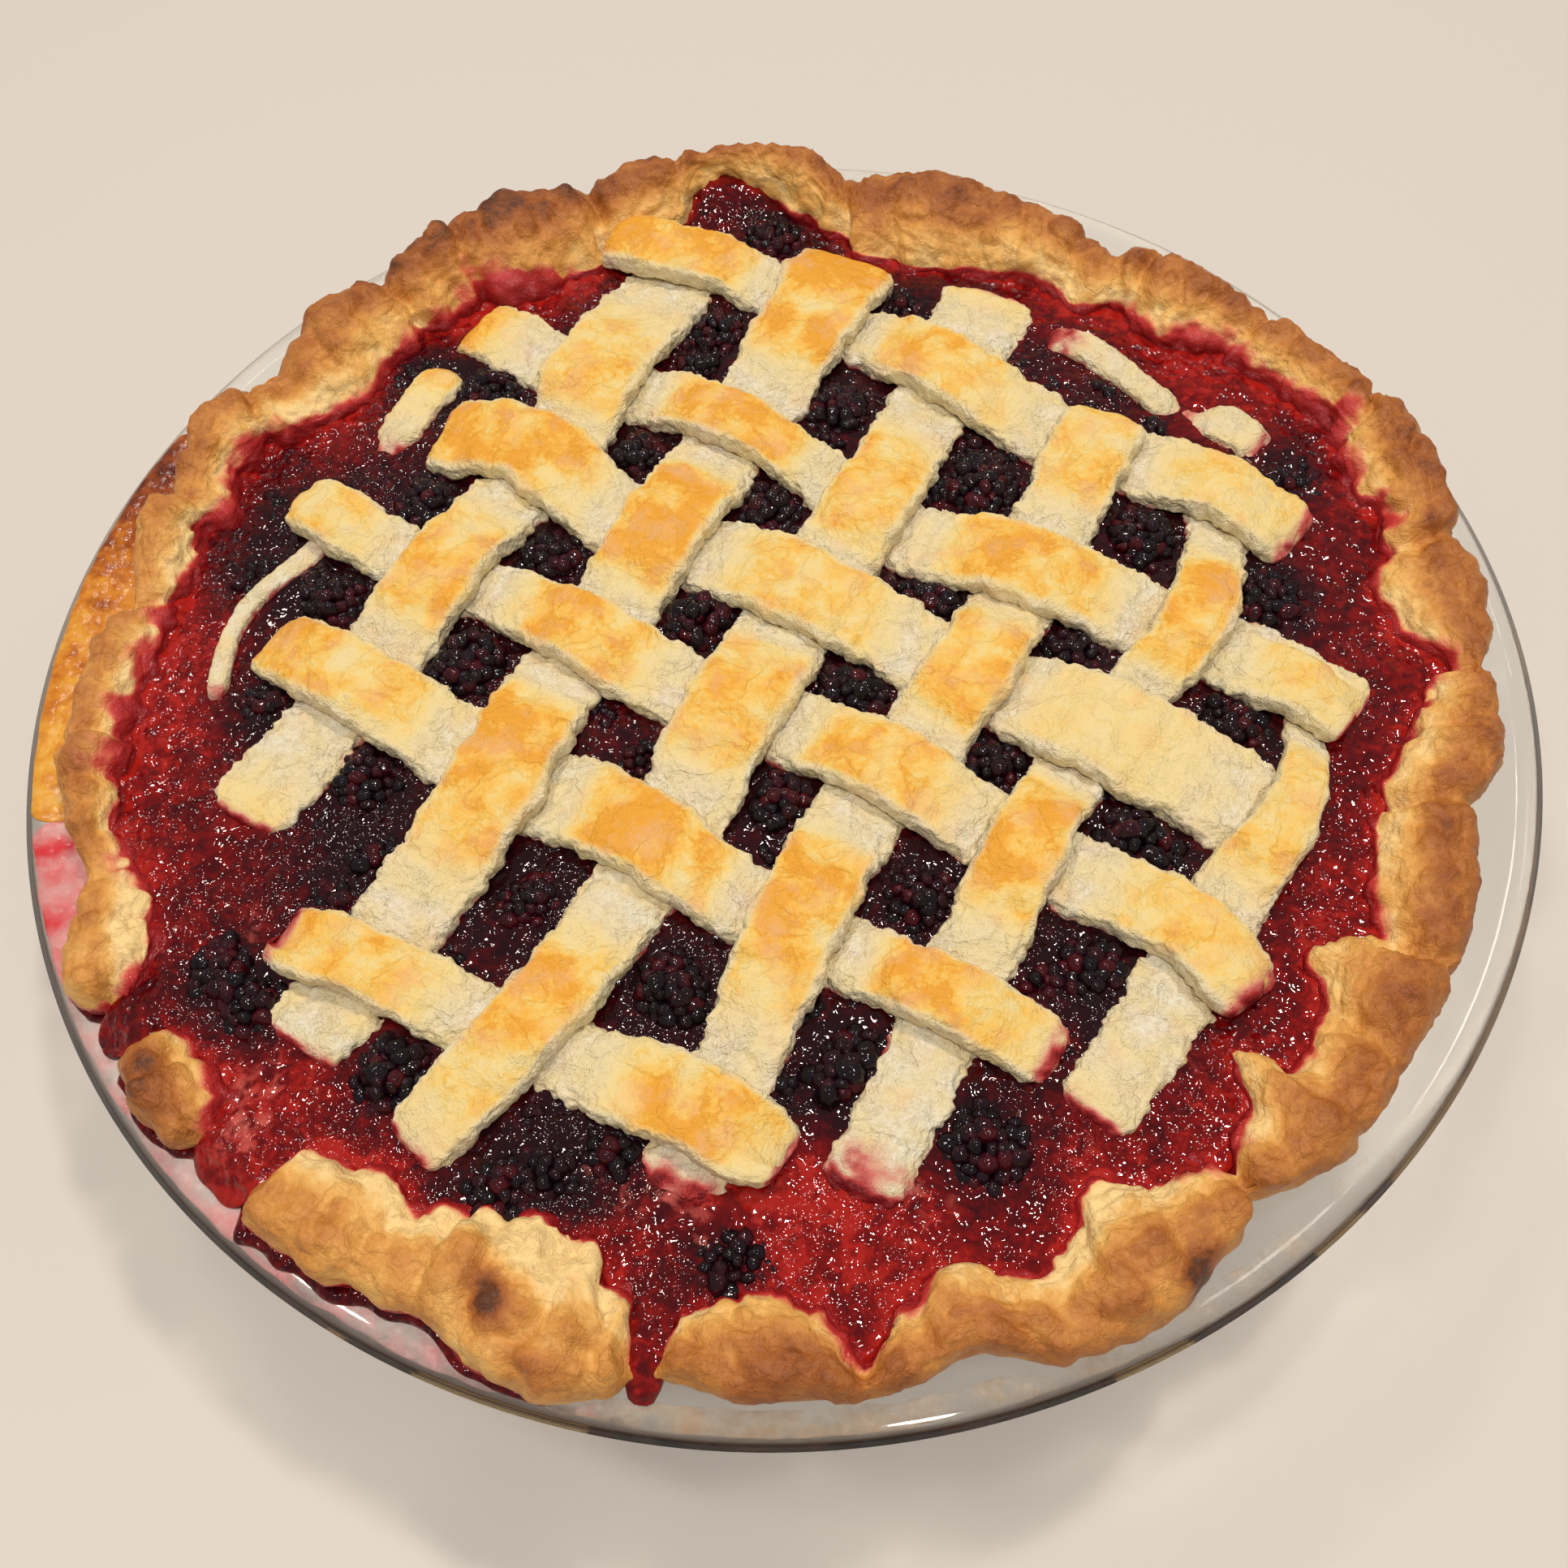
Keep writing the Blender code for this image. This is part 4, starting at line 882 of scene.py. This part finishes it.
def strip_grid(strip, seed):
    """The strip's skin: a rounded-oblong loop carried along the middle line.

    The loop's share across is sign(cos)|cos|^0.42 and its height sign(sin)|sin|^0.55. The skin then
    gets ragged edges, blisters and crumbs along its normals.
    """
    count = len(strip["middle"])
    phi = np.linspace(0, math.tau, CROSS, endpoint=False)
    across = np.sign(np.cos(phi)) * np.abs(np.cos(phi)) ** 0.42
    up = np.sign(np.sin(phi)) * np.abs(np.sin(phi)) ** 0.55
    lanes = np.linspace(-1, 1, LANES)
    lane_heights, lane_tops = strip_heights(strip, lanes)
    pick = (across + 1) / 2 * (len(lanes) - 1)
    low = np.clip(np.floor(pick).astype(int), 0, len(lanes) - 2)
    part = pick - low
    middle_z = lane_heights[:, low] * (1 - part) + lane_heights[:, low + 1] * part
    on_top = lane_tops[:, low] * (1 - part) + lane_tops[:, low + 1] * part
    along = np.arange(count) * STEP
    from_end = np.minimum(along, along[-1] - along)
    rounding = np.sqrt(np.clip(1 - (1 - np.clip(from_end / ROUND_END, 0, 1)) ** 2, 0, 1))[:, None]
    mx, my = strip["middle"][:, :1], strip["middle"][:, 1:]
    edge_x = mx + strip["side"][:, :1] * across * 6
    edge_y = my + strip["side"][:, 1:] * across * 6
    ragged = 0.075 * flat_grain(edge_x, edge_y, 8.0, seed) + 0.05 * flat_grain(edge_x, edge_y, 3.0, seed + 1)
    half = strip["width"][:, None] / 2 * (0.6 + 0.4 * rounding) * (1 + ragged * np.abs(across) ** 3 * 1.6)
    uneven = 1 + 0.12 * flat_grain(edge_x, edge_y, 12.0, seed + 2)
    thick = STRIP_T / 2 * (0.25 + 0.75 * rounding) * uneven
    x = mx + strip["side"][:, :1] * across * half
    y = my + strip["side"][:, 1:] * across * half
    crown = 0.2 + 0.5 * np.abs(strip["sunk"])[:, None]
    z = middle_z + up * thick + crown * ((1 - across**2) * (up > 0) - 0.5 * (crown > 0.5))
    grid = np.stack([x, y, z], -1)
    normal = outward(grid, False)
    edge = rise_between((np.abs(across) - 0.76) / 0.24) * np.ones_like(x)
    dive = 1 - on_top
    blister = np.abs(grain(x, y, z, 6.0, seed + 3)) - 0.3
    relief = 0.8 * blister * (1 - 0.6 * edge) + 0.3 * grain(x, y, z, 4.0, seed + 4)
    relief += (0.14 + 0.16 * edge + 0.32 * dive) * grain(x, y, z, 2.3, seed + 5)
    relief += (0.11 + 0.24 * edge + 0.38 * dive) * grain(x, y, z, 1.1, seed + 6)
    relief *= np.minimum(1, strip["width"] / 11.0)[:, None]
    grid = grid + normal * relief[..., None]
    top_side = rise_between((up + 0.2) / 0.8) * np.ones_like(x)
    patch = 1.05 + 0.7 * flat_grain(x, y, 11.0, seed + 7) + 0.9 * flat_grain(x, y, 4.5, seed + 8)
    wash = strip["wash"][:, None] * rise_between((on_top - 0.35) / 0.5) * top_side * (1 - 0.65 * edge) * patch
    flour = rise_between((0.6 - on_top) / 0.4) * (0.7 + 0.9 * grain(x, y, z, 4.0, seed + 9))
    flour = np.maximum(flour, 0.55 * edge * (1 + grain(x, y, z, 5.0, seed + 11)))
    above_juice = z - dome_z(np.hypot(x, y)) + 0.4
    mess = grain(x, y, z, 3.2, seed + 10) + 0.5 * grain(x, y, z, 1.5, seed + 12)
    slim = np.clip((10 - strip["width"][:, None]) / 3, 0, 1)
    stain = rise_between((0.9 + 0.7 * slim - above_juice + 0.9 * mess) / 2.4)
    stain = np.maximum(stain, np.clip(strip["stain"][:, None] * (1.0 + 0.9 * mess) - 0.1, 0, 1) ** 1.3)
    fields = {"wash": wash, "flour": flour, "soaked": stain}
    return grid, fields


strip_paint, tree, shader = new_material("lattice_dough", {"Specular IOR Level": 0.3})
texture = add_node(tree, "ShaderNodeGroup", node_tree=pastry_texture)
texture.inputs["Flakiness"].default_value = 0.35
egg_wash = field_node(tree, "wash")
golden = blotched(tree, egg_wash, texture.outputs["Mottle"], 1.3)
freckles = blotched(tree, 0.0, texture.outputs["Speckle"], 1.1)
freckled = math_node(tree, "ADD", egg_wash, 0.25, clamp=True)
golden = scaled(tree, freckles, freckled, golden)
# Along the fine wrinkle grooves the egg-washed dough turns a deeper orange: partly browning, partly painted
# shade in the grooves
groove_shade_and_browning = scaled(tree, egg_wash, 0.35, clamp=True)
golden = scaled(tree, texture.outputs["Wrinkle"], groove_shade_and_browning, golden)
washed = colour_ramp(tree, golden, (
    (0.0, (0.79, 0.63, 0.31)), (0.25, (0.81, 0.61, 0.235)), (0.5, (0.83, 0.53, 0.125)),
    (0.78, (0.83, 0.445, 0.065)), (1.0, (0.78, 0.35, 0.03))))
crumbly = colour_ramp(tree, scaled(tree, texture.outputs["Speckle"], 1.5, -0.25), (
    (0.0, (0.60, 0.48, 0.29)), (0.45, (0.80, 0.71, 0.50)), (1.0, (0.93, 0.89, 0.76))))
floury = blotched(tree, field_node(tree, "flour"), texture.outputs["Mottle"], 0.8)
dough = mix_colours(tree, scaled(tree, floury, 0.9, clamp=True), washed, crumbly)
soaking = blotched(tree, field_node(tree, "soaked"), texture.outputs["Mottle"], 0.5, clamp=True)
wine = colour_ramp(tree, soaking, (
    (0.0, (0.76, 0.46, 0.34)), (0.4, (0.66, 0.20, 0.16)), (0.75, (0.42, 0.03, 0.03)),
    (1.0, (0.18, 0.006, 0.010))))
mask = scaled(tree, soaking, 2.0, clamp=True)
tree.links.new(mix_colours(tree, mask, dough, wine), shader.inputs["Base Color"])
dry = scaled(tree, texture.outputs["Speckle"], 0.2, 0.44)
tree.links.new(scaled(tree, mask, -0.25, dry, clamp=True), shader.inputs["Roughness"])
rough = scaled(tree, field_node(tree, "flour"), 0.9, 0.5, clamp=True)
height = scaled(tree, texture.outputs["Height"], rough)
add_relief(tree, shader, height, 0.9, 0.0006)


def end_caps(grid):
    """Both ends of a piece that runs along a line, closed at their middles."""
    return (0, grid[0].mean(axis=0)), (-1, grid[-1].mean(axis=0))


FIRST_SEED = {"falling": 100, "rising": 500}
SEEDS_A_STRIP = 20
for family, strips in (("falling", falling), ("rising", rising)):
    for number, strip in strips.items():
        grid, fields = strip_grid(strip, FIRST_SEED[family] + SEEDS_A_STRIP * number)
        piece = add_surface(f"lattice_{family}_{number}", grid, strip_paint,
                            caps=end_caps(grid), fields=fields)
        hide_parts(f"{family}_strip_{number}")

# ---------------------------------------------------------------- berries
# Stewed berries standing in the juice: each a squashed ball of wet, nearly black drupelets. Only
# the drupelets that show between the strips are made.

DRUPELETS = 112       # drupelets all round a berry of the usual size
BERRY_R = 7.0
ROW_GAP, COLUMN_GAP = 10.5, 11.5
FIELD_R = 84.0        # the plain berries lie within this radius
CLEARANCE = 8.0       # and this far from the berries that show best
HIDDEN_DEPTH = 1.7    # drupelets deeper than this in the juice are not made
COVERED = 1.2         # nor those farther than this under a strip
PRESSED_DOWN = 1.3    # how far a strip presses the drupelets at its edge down


def drupelet_ball(rows, cols):
    """A unit sphere: its points, and its quads and triangles, closed at both poles."""
    polar = np.linspace(0, np.pi, rows + 2)[1:-1]
    spin = np.linspace(0, math.tau, cols, endpoint=False)
    ring = polar_points(np.sin(polar)[:, None], spin, np.cos(polar)[:, None]).reshape(-1, 3)
    points = np.concatenate([ring, [(0, 0, 1), (0, 0, -1)]])
    index = np.arange(rows * cols).reshape(rows, cols)
    after = np.roll(index, -1, axis=1)
    quads = np.stack([index[:-1], index[1:], after[1:], after[:-1]], -1).reshape(-1, 4)
    top_fan = np.stack([index[0], after[0], np.full(cols, rows * cols)], -1)
    low_fan = np.stack([after[-1], index[-1], np.full(cols, rows * cols + 1)], -1)
    return points, quads, np.concatenate([top_fan, low_fan])


def berry_cluster(centre, size, rng):
    """Middles and radii of one berry's drupelets, spiralled evenly over a squashed ball."""
    count = int(DRUPELETS * (size / BERRY_R) ** 2)
    k = np.arange(count) + 0.5
    polar = np.arccos(1 - 2 * k / count)
    spin = k * math.pi * (1 + 5**0.5)
    ball = polar_points(np.sin(polar), spin, np.cos(polar))
    tilt = np.linalg.qr(rng.normal(size=(3, 3)))[0]
    ball = (ball * np.array([1.0, rng.uniform(0.85, 1.0), rng.uniform(0.75, 0.95)])) @ tilt.T
    ball += rng.normal(scale=0.04, size=ball.shape)
    ball[:, 2] *= 0.72
    return centre + ball * (size - 1.2), rng.uniform(1.05, 1.6, count) * size / BERRY_R


def strip_cover(points):
    """How far inside the nearest strip's outline each point lies, seen from above; below 0 is outside."""
    inside = np.full(len(points), -np.inf)
    for strip in [*falling.values(), *rising.values()]:
        gap = np.linalg.norm(points[:, None, :2] - strip["middle"][None, ::3], axis=2)
        nearest = gap.argmin(axis=1)
        inside = np.maximum(inside, strip["width"][::3][nearest] / 2 - gap.min(axis=1))
    return inside


rng = np.random.default_rng(5)
spots = [(bx, by, rng.uniform(7.4, 8.6), rng.uniform(3.4, 4.4)) for bx, by in BERRIES]
for row in range(-7, 8):
    for column in range(-8, 9):
        bx = COLUMN_GAP * (column + 0.5 * (row % 2)) + rng.uniform(-2, 2)
        by = ROW_GAP * row + rng.uniform(-2, 2)
        clear = min(math.dist((bx, by), berry) for berry in BERRIES)
        if math.hypot(bx, by) < FIELD_R and clear > CLEARANCE:
            spots.append((bx, by, rng.uniform(6.0, 7.6), rng.uniform(3.4, 4.8)))
middles, radii = [], []
for bx, by, size, sink in spots:
    surface = dome_z(math.hypot(bx, by))
    cluster, sizes = berry_cluster(np.array([bx, by, surface - sink]), size, rng)
    keep = cluster[:, 2] > surface - HIDDEN_DEPTH
    middles.append(cluster[keep])
    radii.append(sizes[keep])
middles, radii = np.concatenate(middles), np.concatenate(radii)
cover = strip_cover(middles)
middles[:, 2] -= PRESSED_DOWN * rise_between((cover + 2.6) / 2.6)
middles, radii = middles[cover < COVERED], radii[cover < COVERED]
ball, ball_quads, ball_tris = drupelet_ball(4, 8)
stretch = rng.uniform(0.82, 1.18, size=(len(middles), 1, 3))
wrinkled = 1 + 0.10 * rng.normal(size=(len(middles), len(ball), 1)).clip(-1, 1)
verts = middles[:, None, :] + ball[None] * stretch * wrinkled * radii[:, None, None]
offsets = (np.arange(len(middles)) * len(ball))[:, None, None]
faces = (ball_quads[None] + offsets).reshape(-1, 4).tolist()
faces += (ball_tris[None] + offsets).reshape(-1, 3).tolist()
ripeness = np.repeat(rng.random(len(middles)) ** 1.6, len(ball))

berry_skin, tree, shader = new_material("berry_skin", {"Roughness": 0.06, "IOR": 1.36})
film = noise_node(tree, 520.0)
tone = blotched(tree, field_node(tree, "ripe"), film, 1.4)
tree.links.new(colour_ramp(tree, tone, (
    (0.0, (0.006, 0.003, 0.005)), (0.5, (0.014, 0.003, 0.006)), (0.8, (0.036, 0.003, 0.007)),
    (1.0, (0.055, 0.003, 0.006)))), shader.inputs["Base Color"])
add_relief(tree, shader, film, 0.75, 0.0006)

berries = add_piece("stewed_berries", verts.reshape(-1, 3), faces, berry_skin,
                    {"ripe": ripeness})
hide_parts("berry_filling")

# ---------------------------------------------------------------- spilt juice and baked-on syrup
# Juice that bubbled over the rim. It lies as a dark bead along the crust's foot at the front left,
# and has baked to amber and pink films on the flange at the left.

FLANGE = np.array((
    (104.0, 35.6), (108.6, 37.2), (113.0, 37.5), (120.0, 37.9), (122.2, 38.0), (123.2, 37.8),
))
SUNK_IN = 0.12


def flange_top(r):
    """Height of the glass under a film at a radius."""
    return np.interp(r, FLANGE[:, 0], FLANGE[:, 1])


def flange_sweep(start, end, inner, outer, thickness, step=0.35, sides=20):
    """A closed film along the flange from one angle to another: a flat oblong loop at each angle.

    inner, outer and thickness are functions of the angle. Both ends narrow to a rounded tip, and its
    underside dips SUNK_IN into the glass.
    """
    theta = np.arange(start, end, step)
    tip = np.minimum(theta - start, end - theta)
    taper = np.sqrt(np.clip(1 - (1 - np.clip(tip / 1.6, 0, 1)) ** 2, 0, 1)) * 0.97 + 0.03
    low, high = inner(theta), outer(theta)
    middle, half = (low + high) / 2, (high - low) / 2 * taper
    phi = np.linspace(0, math.tau, sides, endpoint=False)
    across, up = np.sign(np.cos(phi)) * np.abs(np.cos(phi)) ** 0.6, np.sin(phi)
    r = middle[:, None] + across * half[:, None]
    height = np.where(up > 0, up * (thickness(theta) * taper)[:, None], 0.02 * up - SUNK_IN)
    return polar_points(r, np.radians(theta)[:, None], flange_top(r) + height)


def wavy(theta, size, seed):
    """Smooth noise along the rim at angles in degrees."""
    a = np.radians(theta)
    return flat_grain(120 * np.cos(a), 120 * np.sin(a), size, seed)


# How far the bead of juice reaches beyond the crust: angle in degrees, reach
BEAD = np.array((
    (0, 0), (196, 0), (198.2, 1.2), (200, 1.6), (201.5, 0.1), (204, 0.2), (206.5, 0.8), (209, 1.4),
    (212, 3.2), (214, 2.4), (217, 1.4), (221.5, 1.8), (224.5, 3.2), (228, 3.2), (231, 2.4), (240, 2.2),
    (246, 1.4), (251, 0.9), (254, 0.1), (260, 0),
))
FLANGE_REACH = 122.2


def bead_outer(theta):
    reach = around(theta, BEAD, 1) * (0.7 + 0.5 * wavy(theta, 5.0, 61))
    return np.minimum(around(theta, RIM, 1) + reach, FLANGE_REACH)


def bead_thickness(theta):
    return 0.4 + 0.3 * around(theta, BEAD, 1) * (1 + 0.4 * wavy(theta, 3.0, 62))


for number, (start, end) in enumerate(((197.2, 201.8), (203.5, 254.0))):
    grid = flange_sweep(start, end, lambda theta: around(theta, RIM, 1) - 2.6, bead_outer,
                        bead_thickness, step=0.3)
    x, y, z = np.moveaxis(grid, -1, 0)
    grid[..., 2] += 0.3 * grain(x, y, z, 1.6, 63) * (z > flange_top(np.hypot(x, y)) + 0.2)
    bead = add_surface(f"overflow_bead_{number}", grid, wet_red, caps=end_caps(grid),
                       fields={"thick": 0.45 + 0.4 * grain(x, y, z, 4.0, 64), "bright": 0.34 + 0 * x,
                               "cloudy": 0 * x, "clotted": 1 + 0 * x})
    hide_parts("berry_filling")


def syrup_material(name, stops, see_through, streaky):
    """A glossy cooked film, blotchy by noise and by its own darkness, and thinner between streaks."""
    material, tree, shader = new_material(name, {"Roughness": 0.1, "IOR": 1.42})
    cloud = noise_node(tree, 230.0, 5.0, 0.68)
    froth = cell_node(tree, 520.0, "F1")
    darkness = field_node(tree, "dark")
    burnt = blotched(tree, darkness, cloud, 1.3)
    tree.links.new(colour_ramp(tree, burnt, stops), shader.inputs["Base Color"])
    cover = scaled(tree, darkness, 0.5 * streaky, see_through)
    cover = blotched(tree, cover, cloud, streaky, clamp=True)
    tree.links.new(cover, shader.inputs["Alpha"])
    add_relief(tree, shader, scaled(tree, froth, -0.8, cloud), 0.5, 0.0006)
    return material


amber_syrup = syrup_material("amber_syrup", (
    (0.0, (0.86, 0.56, 0.20)), (0.25, (0.82, 0.40, 0.045)), (0.5, (0.62, 0.20, 0.012)),
    (0.75, (0.30, 0.06, 0.006)), (1.0, (0.09, 0.012, 0.005))), see_through=0.85, streaky=0.3)
tea_syrup = syrup_material("tea_syrup", (
    (0.0, (0.62, 0.46, 0.26)), (0.5, (0.50, 0.28, 0.10)), (1.0, (0.26, 0.10, 0.03))),
    see_through=-0.05, streaky=0.9)
rosy_syrup = syrup_material("rosy_syrup", (
    (0.0, (0.80, 0.50, 0.48)), (0.4, (0.82, 0.24, 0.24)), (1.0, (0.70, 0.015, 0.03))),
    see_through=0.12, streaky=1.1)

# name: start and end angle, inner and outer reach, thickness, darkness by angle, material
FILMS = {
    "syrup_patch": (141.5, 149.5, 111.0, 117.5, 0.5, ((140, 0.45), (150, 0.4)), amber_syrup),
    "syrup_amber": (
        151.0, 192.0, 110.5, 123.2, 0.45,
        ((150, 0.6), (155, 0.9), (162, 0.8), (166, 0.62), (174, 0.45), (184, 0.4), (192, 0.3)),
        amber_syrup),
    "syrup_rosy": (
        191.5, 207.0, 113.0, 123.0, 0.3,
        ((191, 0.3), (193, 0.6), (194.2, 1.1), (195.5, 0.6), (199, 0.55), (200.5, 0.9), (202, 0.5),
        (208, 0.3)),
        rosy_syrup),
    "syrup_tea": (
        251.0, 318.0, 119.0, 122.9, 0.15,
        ((250, 0.2), (262, 0.45), (275, 0.35), (290, 0.25), (305, 0.1), (318, -0.1)), tea_syrup),
    "syrup_faint": (
        206.0, 259.0, 117.0, 122.8, 0.2,
        ((205, 0.25), (214, 0.2), (232, 0.25), (245, 0.12), (256, -0.1), (262, -0.3)), rosy_syrup),
}
for name, (start, end, inner, outer, thickness, dark, paint) in FILMS.items():
    angles, levels = np.array(dark).T
    grid = flange_sweep(
        start, end, lambda theta: inner + 0.8 * wavy(theta, 5.0, 71),
        lambda theta: outer - 0.5 + 0.4 * wavy(theta, 4.0, 72),
        lambda theta: thickness * (1 + 0.5 * wavy(theta, 6.0, 73)))
    x, y, z = np.moveaxis(grid, -1, 0)
    theta = np.degrees(np.arctan2(y, x)) % 360
    film = add_surface(name, grid, paint, caps=end_caps(grid),
                       fields={"dark": np.interp(theta, angles, levels)})
    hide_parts("berry_filling")
